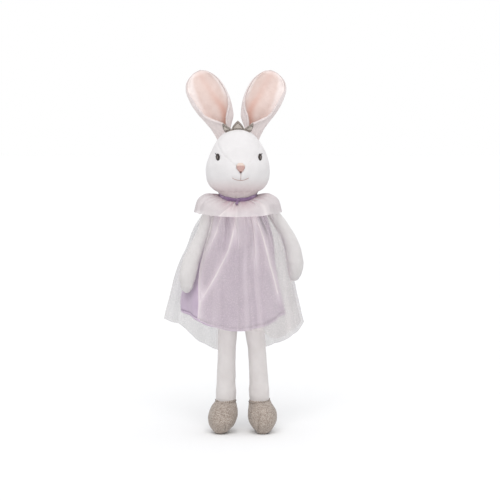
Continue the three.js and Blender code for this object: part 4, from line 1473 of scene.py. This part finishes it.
def make_collar():
    """The ruffle in two halves; at the front the left half laps over the right one."""
    t = np.linspace(0, 1, 46)[:, None]
    for side, sign in SIDES.items():
        start = 0 * t if side == "right" else -(0.02 + 0.42 * t ** 1.2)
        share = np.linspace(0, 1, 200)[None]
        angle = lerp(start, np.pi * np.ones_like(t), share)
        lap = 1.6 * (1 - smooth(0.0, 0.5, angle)) if side == "left" else 0 * angle
        grid = collar_point(sign * angle, t + 0 * share, lap)
        piece = make_piece(f"tulle_collar_{side}_half", sheet_of(grid), COLLAR_TULLE, True)
        # Painted highlight along the left half's lapped front edge and its fold.
        lap_highlight = 0.45 * bump(share, 0, 0.012) + 0.3 * bump(angle, 0.69, 0.05) * smooth(0.1, 0.3, t) \
            + 0.06 * (1 - smooth(0.3, 0.7, angle))
        number_points(piece, "painted_highlight", np.clip(lap_highlight if side == "left" else 0 * angle, 0, 1).ravel())
        # Painted shade: streaks between the gathers near the ribbon, and darker in the middle towards the
        # top.
        painted_shade = (1 - smooth(0.05, 0.7, t)) * (0.45 + 0.8 * gathers(sign * angle / (2 * np.pi), 28, 1))
        painted_shade = painted_shade + 0.42 * (1 - smooth(0.2, 0.85, np.abs(angle))) * (1 - smooth(0.45, 1, t))
        number_points(piece, "shaded", np.clip(painted_shade, 0, 1).ravel())
        piece.visible_shadow = False
        nodes = ["tulle_collar"] if side == "right" else []
        bends(piece, "torso", f"{side}_arm", "soft_tulle", collar_lift(sign), *nodes)


def make_ribbon():
    """A narrow satin ribbon round the neck with a small knot and its cut end."""
    top = box_mm("neck_ribbon")[1][2]
    turn = full_turn(180)[None]
    t = np.linspace(0, 1, 13)[:, None]
    middle = top + 1.8 - 6.0 * np.clip(np.cos(turn), 0, 1) ** 1.3
    crease = 0.25 * np.sin(26 * turn) * np.sin(np.pi * t)
    radius = 22.4 + 0.55 * np.sin(np.pi * t) + crease
    z = middle + (0.5 - t) * (4.6 + 0.4 * np.sin(9 * turn)) - 0.3 * t * np.sin(23 * turn)
    grid = np.stack([NECK[0] + radius * np.sin(turn), -radius * np.cos(turn), z], -1)
    inner = grid - np.stack([0.6 * np.sin(turn), -0.6 * np.cos(turn), 0 * turn], -1)
    ribbon = make_piece("satin_neck_ribbon", shell_of(grid, inner, True), SATIN)
    x, y, z = points_of(ribbon).T
    # Painted highlight, light lilac, towards both ends of the ribbon, in soft stripes.
    lit = bump(np.abs(np.arctan2(x - NECK[0], -y)), 1.0, 0.24) * bump(np.sin(z * 2.2), 1, 1.6)
    number_points(ribbon, "lit", lit)
    rides(ribbon, "torso", "purple_satin", "neck_ribbon")
    front = np.array([NECK[0], -23.8, top - 4.6])
    bend = [(-2.2, 0.4, 0.6), (-1.2, -0.7, 0.5), (0, -1.0, 0.2), (1.2, -0.7, 0), (2.2, 0.4, -0.2)]
    knot = tube_of(front + np.array(bend), 1.7, 12, 0.8)
    share, down = np.meshgrid(np.linspace(-1, 1, 9), np.linspace(0, 1, 12))
    width = 0.9 + 0.9 * down
    x = front[0] - 0.2 + share * width - 0.9 * down
    y = front[1] - 0.9 - 10.5 * down ** 1.15 + 0.35 * share ** 2
    z = front[2] + 0.5 - 4.6 * down + 0.7 * np.abs(share) * down
    tail = np.stack([x, y, z], -1)
    rides(make_piece("ribbon_knot_and_end", several([knot, shell_of(tail, tail + [0, 0.45, 0])]), SATIN),
          "torso", "purple_satin", "ribbon_knot")


# ---- the whole rabbit ------------------------------------------------------------------------

add_camera()
add_studio()
make_head()
make_face()
make_crown()
make_body()
make_neck()
for side_name, side_sign in SIDES.items():
    make_ear(side_name, side_sign)
    make_arm(side_name, side_sign)
    make_leg(side_name, side_sign)
    make_shoe(side_name, side_sign)
make_dress()
make_front_panel()
make_back_panels()
make_collar()
make_ribbon()
